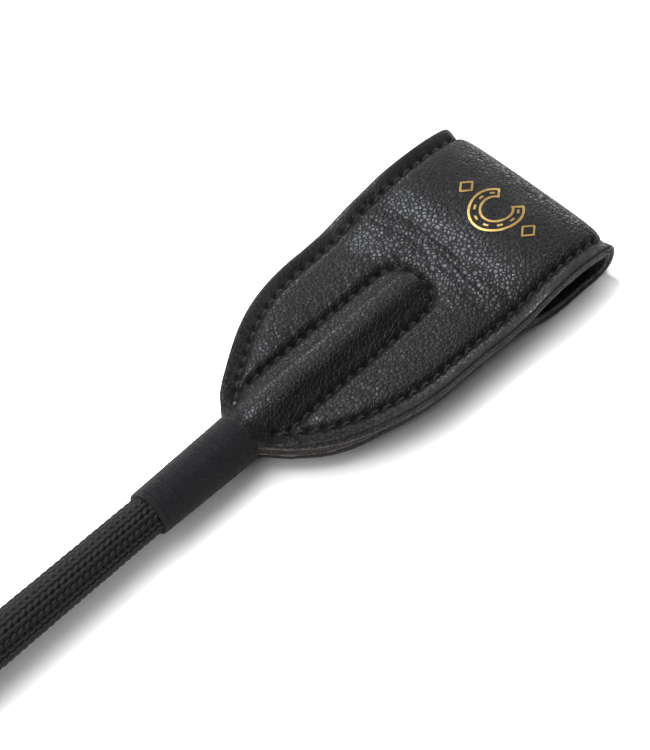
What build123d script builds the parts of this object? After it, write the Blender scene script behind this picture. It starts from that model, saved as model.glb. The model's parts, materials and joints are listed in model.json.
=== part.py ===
from build123d import *
import math
import os

# A riding crop lying on a table. Millimetres, +Z up, the table at z = 0. The shaft runs along +X
# from the butt cap to the keeper, and the origin is the middle of the object's footprint.
#
# The shaft is straight, and rests on the cap at one end and on the keeper's fold at the other,
# so its axis slopes gently down towards the keeper.

# ---- overall lengths along X
CROP_LENGTH = 650.0      # back of the cap to the keeper's fold
LOOP_REACH = 150.0       # how far the wrist loop trails behind the cap
X_FOLD = (CROP_LENGTH + LOOP_REACH) / 2
X_BUTT = X_FOLD - CROP_LENGTH
KEEPER_LENGTH = 81.0
X_NECK = X_FOLD - KEEPER_LENGTH        # where the keeper starts to widen, inside its whipping

# ---- the shaft's axis
BUTT_AXIS_HEIGHT = 12.06
NECK_AXIS_HEIGHT = 6.5
SLOPE = math.atan((BUTT_AXIS_HEIGHT - NECK_AXIS_HEIGHT) / (X_NECK - X_BUTT))

# ---- core rod and braid, by distance along the shaft from the butt
ROD_START = 13.0
BRAID_START = 140.0
BRAID_PAST_NECK = 40.0   # how far the braid runs on inside the keeper
BRAID_END = X_NECK + BRAID_PAST_NECK - X_BUTT
GRIP_FRONT = 175.0       # the taper of the shaft starts here
BRAID_RADIUS_GRIP = 5.75
BRAID_RADIUS_TIP = 3.42
BRAID_WALL = 0.9
TIP_CAP_GRIP = 5.0       # how much of the rod the tip cap covers
DOME_OVERLAP = 0.8       # the cap's dome starts this far before the rod's end

# ---- grip and cap
GRIP_START = 11.0
GRIP_END = 164.0
GRIP_RADII = (9.2, 10.3, 8.4)          # butt, middle, front
GRIP_LEATHER = 1.1
THREAD = 0.5                           # thickness of a layer of whipping thread
CAP_RADIUS = 12.0
CAP_LENGTH = 10.5
CAP_FLAT_RADIUS = 7.5                  # the flat at its back
CAP_WIDEST = 4.6                       # distance of its widest ring from the back
CAP_BACK_CURVE = 5.2
CAP_NECK_RADIUS = 9.8
CAP_FRONT_CURVE = 10.0
CAP_STEM_RADIUS = 6.5
CAP_STEM_END = 28.0
GRIP_SEAM_ANGLE = -35.0                # degrees round from the side, below level
GRIP_SEAM_ENDS = (13.0, 142.0)         # along the grip's line
FRONT_WHIP = (157.0, 184.0)
REAR_WHIP_END = 20.0

# ---- keeper plies, from the glue line outwards
GLUE_GAP = 0.1
LINING_TOP = 0.6
INTERLINING_TOP = 1.4
LEAF = 2.4                             # outer face of the leather
CHANNEL_LINING_RADIUS = 3.95           # over the braid, inside the channel
CHANNEL_RADIUS = 4.85                  # the ridge that the channel makes

# ---- keeper outline in plan, by distance from the neck
KEEPER_START = 5.0
NECK_HALF_WIDTH = 5.2
SHOULDER_END = 40.0
SHOULDER_HALF_WIDTH = 19.6
HALF_WIDTH = 20.2
STRAIGHT_START = 58.0
PLAN_END = 85.0                        # the plan outline runs on past the fold
SHOULDER_RADIUS = 46.0
CHANNEL_END = 44.6                     # centre of the round end of the channel
FLEX_LINE = 51.5                       # where the keeper bends, just past the channel
SQUEEZE_LINE = 58.0                    # where the upper leaf starts to lift off
HINGE_GAP = 0.2                        # clearance each side of a bending line
FLEX_BEVEL = 1.3                       # relief of the flap's front edge, so that it can bend
TAIL_START = -9.0                      # leather tails under the whipping
TAIL_RADIUS = 4.2

# ---- the keeper's fold, seen from the side: a long crest, a tight nose and a rounder heel
CREST = 67.0
CREST_HEIGHT = 10.9
CREST_RADIUS = 43.0
NOSE_RADIUS = 3.0
LOWER_FLAT_START = 70.0
NOSE_CUT, HEEL_CUT = -8.0, -40.0       # the fold's gap, as angles from its two arcs' centres
SPLIT_DROP = 0.2                       # the split through the mouth is this far under the bend

# ---- keeper whipping
WHIP = (-17.0, 5.0)
WHIP_RADII = (4.3, 4.7)

# ---- seams
SEAM_INSET = 3.0
STITCH_PITCH = 2.7
STITCH = (1.9, 0.5, 0.3)               # length, width, height above the leather
CHANNEL_SEAM = 6.0                     # half width of the U
CHANNEL_SEAM_START = 13.0
CHANNEL_SEAM_END = 50.4
CHANNEL_SEAM_CORNER = 5.0
EDGE_SEAM_START = 9.0
UPPER_SEAM_END = 78.0                  # past here the fold is too tight for a straight stitch
LOWER_SEAM_END = 63.5                  # past here the lower leaf lies on the table
HINGE_STITCH_CLEARANCE = 1.5           # from a bending line to the middle of the next stitch
STITCH_LIFT = 0.05                     # keeps a straight stitch clear of a hollow face

# ---- wrist strap
STRAP_WIDTH = 12.0
STRAP = 2.2                            # thickness of the two plies
STRAP_LINING = 1.0
ROOT_GLUE = 0.04                       # between the two ends at the root
LOOP_RADIUS = 27.0
ROOT_RADIUS = 25.0
SWING_LINE = 4.0                       # behind the cap
SWING_RELIEF = 65.0                    # degrees that the root is cut back for the swing
STRAP_SEAM_INSET = 1.6
DROOP_CLEARANCE = 0.3                  # the loop's far end hangs just clear of the table
ROOT_LENGTH = 14.0
SLOT_DEPTH = 9.5
SLOT_CLEARANCE = 0.1
STRAP_CLOSED_UNTIL = 0.01              # the outer ply's inside line starts right at the root
RIVET_AT = 5.2
RIVET_RADIUS = 1.5
RIVET_HEAD_RADIUS = 3.0
RIVET_HEAD = (10.8, 11.9)              # from and to, off the axis
RIVET_HEAD_ROUNDING = 0.6
HEAD_CLEARANCE = 0.2
WASHER = 0.7

BIG = 15.0                             # reaches past the keeper from inside it

# ---- the shaft's own plane: x along the shaft from the butt, y up from the axis
along = Vector(math.cos(SLOPE), 0, -math.sin(SLOPE))
lengthwise = Plane(origin=(X_BUTT, 0, BUTT_AXIS_HEIGHT), x_dir=along, z_dir=(0, -1, 0))
shaft_axis = Axis(lengthwise.origin, along)
flat_on_shaft = Plane(origin=lengthwise.origin, x_dir=along, z_dir=lengthwise.y_dir)
NECK = X_NECK - X_BUTT                 # the neck, as a distance along the shaft


def braid_radius(distance):
    """Outer radius of the braid at a distance along the shaft."""
    share = (distance - GRIP_FRONT) / (BRAID_END - GRIP_FRONT)
    return BRAID_RADIUS_GRIP + (BRAID_RADIUS_TIP - BRAID_RADIUS_GRIP) * max(0.0, share)


def turned(*outline):
    """A solid turned about the shaft's axis from (distance, radius) points."""
    with BuildPart() as body:
        with BuildSketch(lengthwise):
            with BuildLine():
                Polyline(*outline, close=True)
            make_face()
        revolve(axis=shaft_axis)
    return body.part


def write(part, name):
    """Labels a finished piece and writes its STEP file."""
    part.label = name
    export_step(part, f"parts/{name}.step")


os.makedirs("parts", exist_ok=True)

# ---------------------------------------------------------------- core, tip cap and braid
rod_end = BRAID_END + TIP_CAP_GRIP
with BuildPart() as core_rod:
    with BuildSketch(lengthwise):
        with BuildLine():
            Polyline(
                (ROD_START, 0),
                (ROD_START, BRAID_RADIUS_GRIP - BRAID_WALL),
                (GRIP_FRONT, BRAID_RADIUS_GRIP - BRAID_WALL),
                (BRAID_END, BRAID_RADIUS_TIP - BRAID_WALL),
                (rod_end, BRAID_RADIUS_TIP - BRAID_WALL),
                (rod_end, 0),
                close=True,
            )
        make_face()
    revolve(axis=shaft_axis)

with BuildPart() as shaft_braid:
    with BuildSketch(lengthwise):
        with BuildLine():
            Polyline(
                (BRAID_START, 0),
                (BRAID_START, BRAID_RADIUS_GRIP),
                (GRIP_FRONT, BRAID_RADIUS_GRIP),
                (BRAID_END, BRAID_RADIUS_TIP),
                (BRAID_END, 0),
                close=True,
            )
        make_face()
    revolve(axis=shaft_axis)
    add(core_rod.part, mode=Mode.SUBTRACT)

with BuildPart() as rod_tip_cap:
    with BuildSketch(lengthwise):
        with BuildLine():
            dome_start = rod_end - DOME_OVERLAP
            Polyline(
                (dome_start + BRAID_RADIUS_TIP, 0),
                (BRAID_END, 0),
                (BRAID_END, BRAID_RADIUS_TIP),
                (dome_start, BRAID_RADIUS_TIP),
            )
            CenterArc((dome_start, 0), BRAID_RADIUS_TIP, 0, 90)
        make_face()
    revolve(axis=shaft_axis)
    add(core_rod.part, mode=Mode.SUBTRACT)

# The braid, the rod and the tip cap as one filled body, which the keeper closes round.
with BuildPart() as filled_shaft:
    add([core_rod.part, shaft_braid.part, rod_tip_cap.part])


# ---------------------------------------------------------------- keeper, the part over the channel
def keeper_outline(start=KEEPER_START, end=FLEX_LINE - HINGE_GAP, inset=0.0):
    """The keeper in plan from start to end, inset from its edge, with x measured from the neck."""
    with BuildSketch() as outline:
        with BuildLine():
            shoulder = RadiusArc(
                (KEEPER_START, NECK_HALF_WIDTH),
                (SHOULDER_END, SHOULDER_HALF_WIDTH),
                SHOULDER_RADIUS,
            )
            side = Line(shoulder @ 1, (STRAIGHT_START, HALF_WIDTH))
            straight = Line(side @ 1, (PLAN_END, HALF_WIDTH))
            across = Line(straight @ 1, (PLAN_END, 0))
            middle = Line(across @ 1, (KEEPER_START, 0))
            Line(middle @ 1, shoulder @ 0)
        make_face()
        mirror(about=Plane.XZ)
        if inset:
            offset(amount=-inset, kind=Kind.INTERSECTION, mode=Mode.REPLACE)
        with Locations(((start + end) / 2, 0)):
            Rectangle(end - start, 4 * HALF_WIDTH, mode=Mode.INTERSECT)
    return outline.sketch


def channel_bar(radius):
    """A round bar with a ball end, along the shaft to the end of the channel."""
    start, end = NECK + KEEPER_START, NECK + CHANNEL_END
    with BuildPart() as bar:
        with BuildSketch(lengthwise):
            with BuildLine():
                Polyline((end + radius, 0), (start, 0), (start, radius), (end, radius))
                CenterArc((end, 0), radius, 0, 90)
            make_face()
        revolve(axis=shaft_axis)
    return bar.part


def leaf_slab(low, high):
    """A flat slab of the keeper's outline between two heights above the shaft's axis."""
    neck_plane = Plane(
        origin=lengthwise.origin + along * NECK + lengthwise.y_dir * low,
        x_dir=along,
        z_dir=lengthwise.y_dir,
    )
    with BuildPart() as slab:
        with BuildSketch(neck_plane):
            add(keeper_outline())
        extrude(amount=high - low)
    return slab.part


def block_above(low):
    """A block round the keeper that holds everything over a height above the shaft's axis."""
    middle = lengthwise.origin + along * (NECK + FLEX_LINE / 2) + lengthwise.y_dir * low
    with BuildPart() as block:
        with BuildSketch(Plane(origin=middle, x_dir=along, z_dir=lengthwise.y_dir)):
            Rectangle(4 * FLEX_LINE, 3 * HALF_WIDTH)
        extrude(amount=HALF_WIDTH)
    return block.part


channel_bore = channel_bar(CHANNEL_LINING_RADIUS)
channel_ridge = channel_bar(CHANNEL_RADIUS)
tail_sleeve = turned(
    (NECK + TAIL_START, 0),
    (NECK + TAIL_START, TAIL_RADIUS),
    (NECK + KEEPER_START, TAIL_RADIUS),
    (NECK + KEEPER_START, 0),
)

with BuildPart() as leather_upper_half:
    add(channel_ridge)
    add(block_above(INTERLINING_TOP), mode=Mode.INTERSECT)
    add(leaf_slab(INTERLINING_TOP, LEAF))
    add(channel_bore, mode=Mode.SUBTRACT)
with BuildPart() as tail_upper_half:
    add(tail_sleeve)
    add(block_above(GLUE_GAP), mode=Mode.INTERSECT)
    add(filled_shaft.part, mode=Mode.SUBTRACT)
with BuildPart() as keeper_leather_base:
    add([leather_upper_half.part, tail_upper_half.part])
    mirror(about=flat_on_shaft)

with BuildPart() as keeper_interlining_base:
    add(leaf_slab(LINING_TOP, INTERLINING_TOP))
    add(channel_bore, mode=Mode.SUBTRACT)
    mirror(about=flat_on_shaft)

with BuildPart() as keeper_lining_base:
    add(channel_bore)
    add(block_above(GLUE_GAP), mode=Mode.INTERSECT)
    add(leaf_slab(GLUE_GAP, LINING_TOP))
    add(filled_shaft.part, mode=Mode.SUBTRACT)
    mirror(about=flat_on_shaft)

with BuildPart() as keeper_whipping:
    add(
        turned(
            (NECK + WHIP[0], 0),
            (NECK + WHIP[0], WHIP_RADII[0]),
            (NECK + WHIP[1], WHIP_RADII[1]),
            (NECK + WHIP[1], 0),
        )
    )
    add(tail_sleeve, mode=Mode.SUBTRACT)
    add(filled_shaft.part, mode=Mode.SUBTRACT)

# ---------------------------------------------------------------- keeper, the loop past the channel
flex_height = NECK_AXIS_HEIGHT - FLEX_LINE * math.tan(SLOPE)
loop_start = FLEX_LINE - 6.0           # the outline starts further back than the plies do
fold_reach = X_FOLD - X_NECK

# The crest's arc turns down until it can run into the nose, which ends upright at the fold's reach.
crest_turn = math.asin((fold_reach - CREST - NOSE_RADIUS) / (CREST_RADIUS - NOSE_RADIUS))
nose_height = CREST_HEIGHT - CREST_RADIUS + (CREST_RADIUS - NOSE_RADIUS) * math.cos(crest_turn)
nose_centre = (fold_reach - NOSE_RADIUS, nose_height)
heel_centre = (fold_reach - nose_height, nose_height)


def s_bend(run, rise):
    """Radius and angle of the two equal arcs that shift a level line by rise over run."""
    angle = 2 * math.atan(abs(rise) / run)
    return run / 2 / math.sin(angle), math.degrees(angle)


def loop_outline():
    """The outside of the loop from the side, by distance from the neck and height, as a face."""
    top, bottom = flex_height + LEAF, flex_height - LEAF
    rise_radius, rise_angle = s_bend(CREST - FLEX_LINE, CREST_HEIGHT - top)
    drop_radius, drop_angle = s_bend(LOWER_FLAT_START - FLEX_LINE, bottom)
    with BuildSketch() as face:
        with BuildLine():
            lead_in = Line((loop_start, top), (FLEX_LINE, top))
            rise = JernArc(lead_in @ 1, (1, 0), rise_radius, rise_angle)
            level = JernArc(rise @ 1, rise % 1, rise_radius, -rise_angle)
            crest = JernArc(level @ 1, (1, 0), CREST_RADIUS, -math.degrees(crest_turn))
            nose = JernArc(crest @ 1, crest % 1, NOSE_RADIUS, math.degrees(crest_turn) - 90)
            heel = JernArc(nose @ 1, (0, -1), nose_height, -90)
            underside = Line(heel @ 1, (LOWER_FLAT_START, 0))
            climb = JernArc(underside @ 1, (-1, 0), drop_radius, -drop_angle)
            ease = JernArc(climb @ 1, climb % 1, drop_radius, drop_angle)
            lead_out = Line(ease @ 1, (loop_start, bottom))
            Line(lead_out @ 1, lead_in @ 0)
        make_face()
    return face.sketch


side_view = Plane(origin=(X_NECK, 0, 0), x_dir=(1, 0, 0), z_dir=(0, -1, 0))


def loop_ply(outer, inner, *mask):
    """One ply of the loop, between two depths under its outer face, inside a mask from the side."""
    whole = loop_outline()
    outside = offset(whole, amount=-outer, kind=Kind.INTERSECTION) if outer else whole
    inside = offset(whole, amount=-inner, kind=Kind.INTERSECTION)
    with BuildPart() as ply:
        with BuildSketch(side_view):
            add(outside)
            add(inside, mode=Mode.SUBTRACT)
            with BuildLine():
                Polyline(*mask, close=True)
            make_face(mode=Mode.INTERSECT)
        extrude(amount=2 * HALF_WIDTH, both=True)
        with BuildSketch(Plane(origin=(X_NECK, 0, -BIG))):
            add(keeper_outline(start=FLEX_LINE, end=PLAN_END))
        extrude(amount=3 * BIG, mode=Mode.INTERSECT)
    return ply.part


def ray(centre, angle):
    """A point well outside the fold, at an angle above level from a centre."""
    turn = math.radians(angle)
    return (centre[0] + BIG * math.cos(turn), centre[1] + BIG * math.sin(turn))


# Seen from the side, a split through the mouth of the loop parts the upper leaf from the rest.
# It starts at the squeeze line and goes out through the fold, which is left open between the end
# of the nose and the middle of the heel, so that the leaf can close.
split_height = flex_height - SPLIT_DROP
upper_start, bridge_end = SQUEEZE_LINE + HINGE_GAP, SQUEEZE_LINE - HINGE_GAP
flap_start = FLEX_LINE + HINGE_GAP
upper_mask = [
    (upper_start, split_height),
    nose_centre,
    ray(nose_centre, NOSE_CUT),
    (PLAN_END, BIG),
    (upper_start, BIG),
]
flap_mask = [
    (flap_start, flex_height),
    (flap_start + FLEX_BEVEL, flex_height + LEAF),
    (flap_start + FLEX_BEVEL, BIG),
    (bridge_end, BIG),
    (bridge_end, split_height),
    heel_centre,
    ray(heel_centre, HEEL_CUT),
    (flap_start + FLEX_BEVEL, -BIG),
    (flap_start + FLEX_BEVEL, flex_height - LEAF),
]
ply_depths = {
    "leather": (0.0, LEAF - INTERLINING_TOP),
    "interlining": (LEAF - INTERLINING_TOP, LEAF - LINING_TOP),
    "lining": (LEAF - LINING_TOP, LEAF - GLUE_GAP),
}
loop_plies = {}
for ply_name, (outer, inner) in ply_depths.items():
    loop_plies[f"keeper_{ply_name}_upper"] = loop_ply(outer, inner, *upper_mask)
    loop_plies[f"keeper_{ply_name}_lower"] = loop_ply(outer, inner, *flap_mask)


# ---------------------------------------------------------------- seams of the keeper
def stitches(places):
    """A row of short bars of thread, each at its own place with its length along that place's x."""
    with BuildPart() as row:
        with Locations(*places):
            Box(*STITCH, align=(Align.CENTER, Align.CENTER, Align.MIN))
    return row.part


def spaced(edge, start=0.0, end=None):
    """Points and directions along an edge at the stitch pitch, from start to end."""
    end = edge.length if end is None else end
    count = int((end - start) / STITCH_PITCH)
    for i in range(count):
        share = (start + (i + 0.5) * (end - start) / count) / edge.length
        yield edge @ share, edge % share


def on_leaf(point, direction, side):
    """A stitch on the flat of the keeper: side is 1 on the upper leaf and -1 on the lower."""
    place = lengthwise.origin + along * (NECK + point.X) + Vector(0, point.Y, 0)
    place += lengthwise.y_dir * (side * LEAF)
    x_dir = along * direction.X + Vector(0, direction.Y, 0)
    return Plane(origin=place, x_dir=x_dir, z_dir=lengthwise.y_dir * side).location


def edge_seam():
    """The edge seam's path on the flat part of the keeper, along its +Y side."""
    inset_outline = keeper_outline(start=EDGE_SEAM_START, inset=SEAM_INSET)
    for edge in inset_outline.edges():
        if edge.center().Y > 0 and abs((edge % 0.5).X) > 0.5:
            yield edge


def channel_seam_path():
    """The U round the end of the rod."""
    with BuildLine() as path:
        there = Line((CHANNEL_SEAM_START, CHANNEL_SEAM), (channel_corner_x, CHANNEL_SEAM))
        turn_in = JernArc(there @ 1, (1, 0), CHANNEL_SEAM_CORNER, -90)
        across = Line(turn_in @ 1, (CHANNEL_SEAM_END, CHANNEL_SEAM_CORNER - CHANNEL_SEAM))
        turn_out = JernArc(across @ 1, (0, -1), CHANNEL_SEAM_CORNER, -90)
        Line(turn_out @ 1, (CHANNEL_SEAM_START, -CHANNEL_SEAM))
    return path.wire()


def loop_seam(first, last, upper):
    """Stitch places round the loop on both sides, between two distances, on one of its faces."""
    for edge in loop_outline().edges():
        if edge.length < STITCH_PITCH:
            continue
        for point, direction in spaced(edge):
            if not first < point.X < last or (point.Y > split_height) != upper:
                continue
            out = Vector(-direction.Y, direction.X, 0)
            if (out.Y > 0) != upper:
                out = -out
            seat = side_view.from_local_coords(point + out * STITCH_LIFT)
            for y in (HALF_WIDTH - SEAM_INSET, SEAM_INSET - HALF_WIDTH):
                yield Plane(
                    origin=seat + Vector(0, y, 0),
                    x_dir=(direction.X, 0, direction.Y),
                    z_dir=(out.X, 0, out.Y),
                ).location


channel_corner_x = CHANNEL_SEAM_END - CHANNEL_SEAM_CORNER
edge_places, channel_places = [], []
for side in (1, -1):
    for point, direction in spaced(channel_seam_path()):
        channel_places.append(on_leaf(point, direction, side))
    for edge in edge_seam():
        for point, direction in spaced(edge):
            edge_places.append(on_leaf(point, direction, side))
            across = (Vector(v.X, -v.Y, 0) for v in (point, direction))
            edge_places.append(on_leaf(*across, side))
channel_seam = stitches(channel_places)
keeper_seam_base = stitches(edge_places)
squeeze_stitches = (SQUEEZE_LINE - HINGE_STITCH_CLEARANCE, SQUEEZE_LINE + HINGE_STITCH_CLEARANCE)
flex_stitches = flap_start + FLEX_BEVEL
keeper_seam_upper = stitches(list(loop_seam(squeeze_stitches[1], UPPER_SEAM_END, upper=True)))
bridge_seam = list(loop_seam(flex_stitches, squeeze_stitches[0], upper=True))
lower_leaf_seam = list(loop_seam(flex_stitches + STITCH[0] / 2, LOWER_SEAM_END, upper=False))
keeper_seam_lower = stitches(bridge_seam + lower_leaf_seam)


# ---------------------------------------------------------------- butt cap, rivet and strap ends
cap_face = Plane(origin=lengthwise.origin, x_dir=(0, 1, 0), z_dir=-along)
with BuildPart() as butt_cap:
    with BuildSketch(lengthwise):
        with BuildLine():
            foot = Polyline((CAP_LENGTH, 0), (0, 0), (0, CAP_FLAT_RADIUS))
            back = RadiusArc(foot @ 1, (CAP_WIDEST, CAP_RADIUS), CAP_BACK_CURVE)
            front = RadiusArc(back @ 1, (CAP_LENGTH, CAP_NECK_RADIUS), CAP_FRONT_CURVE)
            Line(front @ 1, foot @ 0)
        make_face()
    revolve(axis=shaft_axis)
    with BuildSketch(cap_face):
        Circle(CAP_STEM_RADIUS)
    extrude(amount=-CAP_STEM_END)
    add(core_rod.part, mode=Mode.SUBTRACT)
    with BuildSketch(cap_face):
        Rectangle(2 * (STRAP + SLOT_CLEARANCE), STRAP_WIDTH + 4 * SLOT_CLEARANCE)
    extrude(amount=-SLOT_DEPTH, mode=Mode.SUBTRACT)
rivet_plane = Plane(origin=lengthwise.origin + along * RIVET_AT, x_dir=along, z_dir=(0, 1, 0))
with BuildPart() as rivet_holes:
    with BuildSketch(rivet_plane):
        Circle(RIVET_RADIUS)
    extrude(amount=BIG, both=True)
    for sign in (1, -1):
        with BuildSketch(rivet_plane.offset(sign * RIVET_HEAD[0])):
            Circle(RIVET_HEAD_RADIUS + HEAD_CLEARANCE)
        extrude(amount=sign * BIG)
with BuildPart() as drilled_cap:
    add(butt_cap.part)
    add(rivet_holes.part, mode=Mode.SUBTRACT)

with BuildPart() as strap_rivet:
    with BuildSketch(rivet_plane):
        Circle(RIVET_RADIUS)
    extrude(amount=RIVET_HEAD[1], both=True)
    with BuildSketch(rivet_plane.offset(-RIVET_HEAD[1])):
        Circle(RIVET_HEAD_RADIUS)
    extrude(amount=RIVET_HEAD[1] - RIVET_HEAD[0])
    fillet(strap_rivet.edges().filter_by(GeomType.CIRCLE).group_by(Axis.Y)[0], RIVET_HEAD_ROUNDING)
with BuildPart() as rivet_washer:
    with BuildSketch(rivet_plane.offset(RIVET_HEAD[0])):
        Circle(RIVET_HEAD_RADIUS)
        Circle(RIVET_RADIUS, mode=Mode.SUBTRACT)
    extrude(amount=WASHER)

# ---------------------------------------------------------------- wrist loop
# In plan, with x running back from the cap: the two ends side by side at the root, a bend
# outwards, a straight run and a round end.
end_centre = LOOP_REACH - LOOP_RADIUS - STRAP / 2
run_length = end_centre - ROOT_LENGTH
root_offset = ROOT_RADIUS + STRAP / 2
spread = math.atan2(run_length, root_offset) - math.acos(
    (LOOP_RADIUS + ROOT_RADIUS) / math.hypot(run_length, root_offset)
)


def strap_face(inset):
    """Everything inside a line at a depth under the strap's outer face, in plan."""
    half_root = STRAP - inset
    radius = LOOP_RADIUS + STRAP / 2 - inset
    touch = (end_centre - radius * math.sin(spread), radius * math.cos(spread))
    with BuildSketch() as face:
        with BuildLine():
            root = Line((0, half_root), (ROOT_LENGTH, half_root))
            bend = JernArc(root @ 1, (1, 0), ROOT_RADIUS - STRAP / 2 + inset, math.degrees(spread))
            run = Line(bend @ 1, touch)
            round_end = JernArc(run @ 1, run % 1, radius, -90 - math.degrees(spread))
            back = Line(round_end @ 1, (0, 0))
            Line(back @ 1, root @ 0)
        make_face()
        mirror(about=Plane.XZ)
    return face.sketch


# The loop droops from the slot. Seen from above with x running back, the plane's z points down.
drop = BUTT_AXIS_HEIGHT - STRAP_WIDTH / 2 - DROOP_CLEARANCE
droop = math.asin(drop / (LOOP_REACH - SWING_LINE))
loop_plane = Plane(
    origin=(
        X_BUTT - SWING_LINE * (1 - math.cos(droop)),
        0,
        BUTT_AXIS_HEIGHT + SWING_LINE * math.sin(droop),
    ),
    x_dir=(-math.cos(droop), 0, -math.sin(droop)),
    z_dir=(math.sin(droop), 0, -math.cos(droop)),
)
root_start = SWING_LINE + HINGE_GAP
relief_length = STRAP * math.tan(math.radians(SWING_RELIEF))
with BuildSketch() as strap_extent:
    with BuildLine():
        Polyline(
            (root_start, 0),
            (root_start + relief_length, STRAP),
            (root_start + relief_length, 2 * LOOP_RADIUS),
            (LOOP_REACH + BIG, 2 * LOOP_RADIUS),
            (LOOP_REACH + BIG, 0),
            close=True,
        )
    make_face()
    mirror(about=Plane.XZ)
# The two linings meet at the root. Their gap is left out until it is wide enough to be real.
gap_start = ROOT_LENGTH + math.sqrt(ROOT_RADIUS * SLOT_CLEARANCE)


def strap_ply(outer, inner, closed_until):
    """One ply of the strap, between two depths, with its inside closed as far as a distance."""
    with BuildSketch() as inside:
        add(strap_face(inner))
        Rectangle(2 * closed_until, 4 * STRAP, mode=Mode.SUBTRACT)
    with BuildPart() as ply:
        with BuildSketch(loop_plane.offset(-STRAP_WIDTH / 2)):
            add(strap_face(outer))
            add(inside.sketch, mode=Mode.SUBTRACT)
            add(strap_extent.sketch, mode=Mode.INTERSECT)
        extrude(amount=STRAP_WIDTH)
    return ply.part


wrist_strap = strap_ply(0.0, STRAP - STRAP_LINING, closed_until=STRAP_CLOSED_UNTIL)
wrist_strap_lining = strap_ply(STRAP - STRAP_LINING, STRAP - ROOT_GLUE / 2, closed_until=gap_start)

with BuildPart() as strap_ends:
    with BuildSketch(cap_face.offset(SWING_LINE - HINGE_GAP)):
        with GridLocations(STRAP + ROOT_GLUE, 0, 2, 1):
            Rectangle(STRAP, STRAP_WIDTH)
    extrude(amount=HINGE_GAP - SWING_LINE - SLOT_DEPTH + 5 * SLOT_CLEARANCE)
    add(strap_rivet.part, mode=Mode.SUBTRACT)


def strap_seam():
    """Stitch places in two rows on the strap's outer face, near its edges."""
    for edge in strap_face(0.0).edges():
        if edge.center().X < root_start or edge.length < STITCH_PITCH:
            continue
        for point, direction in spaced(edge):
            if point.X < root_start + relief_length:
                continue
            out = Vector(direction.Y, -direction.X, 0)
            if out.Y * point.Y < 0 or (point.Y == 0 and out.X < 0):
                out = -out
            for height in (STRAP_SEAM_INSET - STRAP_WIDTH / 2, STRAP_WIDTH / 2 - STRAP_SEAM_INSET):
                seat = point + out * STITCH_LIFT + Vector(0, 0, height)
                yield loop_plane.location * Plane(origin=seat, x_dir=direction, z_dir=out).location


wrist_strap_seam = stitches(list(strap_seam()))


# ---------------------------------------------------------------- grip
def grip_line(inset):
    """The barrel line of the grip, at a depth under its leather."""
    butt, middle, front = (radius - inset for radius in GRIP_RADII)
    return ThreePointArc((GRIP_START, butt), ((GRIP_START + GRIP_END) / 2, middle), (GRIP_END, front))


with BuildPart() as grip_leather:
    with BuildSketch(lengthwise):
        with BuildLine():
            outside = grip_line(0.0)
            inside = grip_line(GRIP_LEATHER)
            Line(outside @ 0, inside @ 0)
            Line(outside @ 1, inside @ 1)
        make_face()
    revolve(axis=shaft_axis)

with BuildPart() as grip_foam:
    with BuildSketch(lengthwise):
        with BuildLine():
            under = grip_line(GRIP_LEATHER)
            Polyline(
                under @ 1,
                (GRIP_END, GRIP_RADII[2]),
                (FRONT_WHIP[1] - 2 * THREAD, BRAID_RADIUS_GRIP + THREAD / 5),
                (FRONT_WHIP[1] - 2 * THREAD, 0),
                (GRIP_START, 0),
                under @ 0,
            )
        make_face()
    revolve(axis=shaft_axis)
    add([core_rod.part, shaft_braid.part, drilled_cap.part], mode=Mode.SUBTRACT)

with BuildPart() as front_whipping:
    add(
        turned(
            (FRONT_WHIP[0], 0),
            (FRONT_WHIP[0], GRIP_RADII[2] + 1.5 * THREAD),
            (GRIP_END, GRIP_RADII[2] + THREAD),
            (FRONT_WHIP[1], BRAID_RADIUS_GRIP + THREAD),
            (FRONT_WHIP[1], 0),
        )
    )
    add([core_rod.part, shaft_braid.part, grip_foam.part, grip_leather.part], mode=Mode.SUBTRACT)

with BuildPart() as rear_whipping:
    add(
        turned(
            (GRIP_START, 0),
            (GRIP_START, GRIP_RADII[0] + THREAD),
            (REAR_WHIP_END, GRIP_RADII[0] + 1.5 * THREAD),
            (REAR_WHIP_END, 0),
        )
    )
    add([core_rod.part, grip_foam.part, grip_leather.part, drilled_cap.part], mode=Mode.SUBTRACT)

seam_turn = math.radians(GRIP_SEAM_ANGLE)
seam_out = Vector(0, math.cos(seam_turn), 0) + lengthwise.y_dir * math.sin(seam_turn)
round_grip = seam_out.cross(along)
with BuildLine() as grip_seam_path:
    grip_line(0.0)
grip_places = []
for point, direction in spaced(grip_seam_path.edge(), *GRIP_SEAM_ENDS):
    seat = lengthwise.origin + along * point.X + seam_out * (point.Y + STITCH_LIFT)
    for slant in (1, -1):
        grip_places.append(Plane(origin=seat, x_dir=along + round_grip * slant, z_dir=seam_out).location)
grip_seam = stitches(grip_places)

# ---------------------------------------------------------------- export
write(core_rod.part, "core_rod")
write(shaft_braid.part, "shaft_braid")
write(rod_tip_cap.part, "rod_tip_cap")
write(keeper_leather_base.part, "keeper_leather_base")
write(keeper_interlining_base.part, "keeper_interlining_base")
write(keeper_lining_base.part, "keeper_lining_base")
write(keeper_whipping.part, "keeper_whipping")
write(keeper_seam_base, "keeper_seam_base")
write(channel_seam, "channel_seam")
for name, part in loop_plies.items():
    write(part, name)
write(keeper_seam_upper, "keeper_seam_upper")
write(keeper_seam_lower, "keeper_seam_lower")
write(drilled_cap.part, "butt_cap")
write(strap_rivet.part, "strap_rivet")
write(rivet_washer.part, "rivet_washer")
write(strap_ends.part, "strap_ends")
write(wrist_strap, "wrist_strap")
write(wrist_strap_lining, "wrist_strap_lining")
write(wrist_strap_seam, "wrist_strap_seam")
write(grip_foam.part, "grip_foam")
write(grip_leather.part, "grip_leather")
write(grip_seam, "grip_seam")
write(front_whipping.part, "front_whipping")
write(rear_whipping.part, "rear_whipping")
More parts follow.
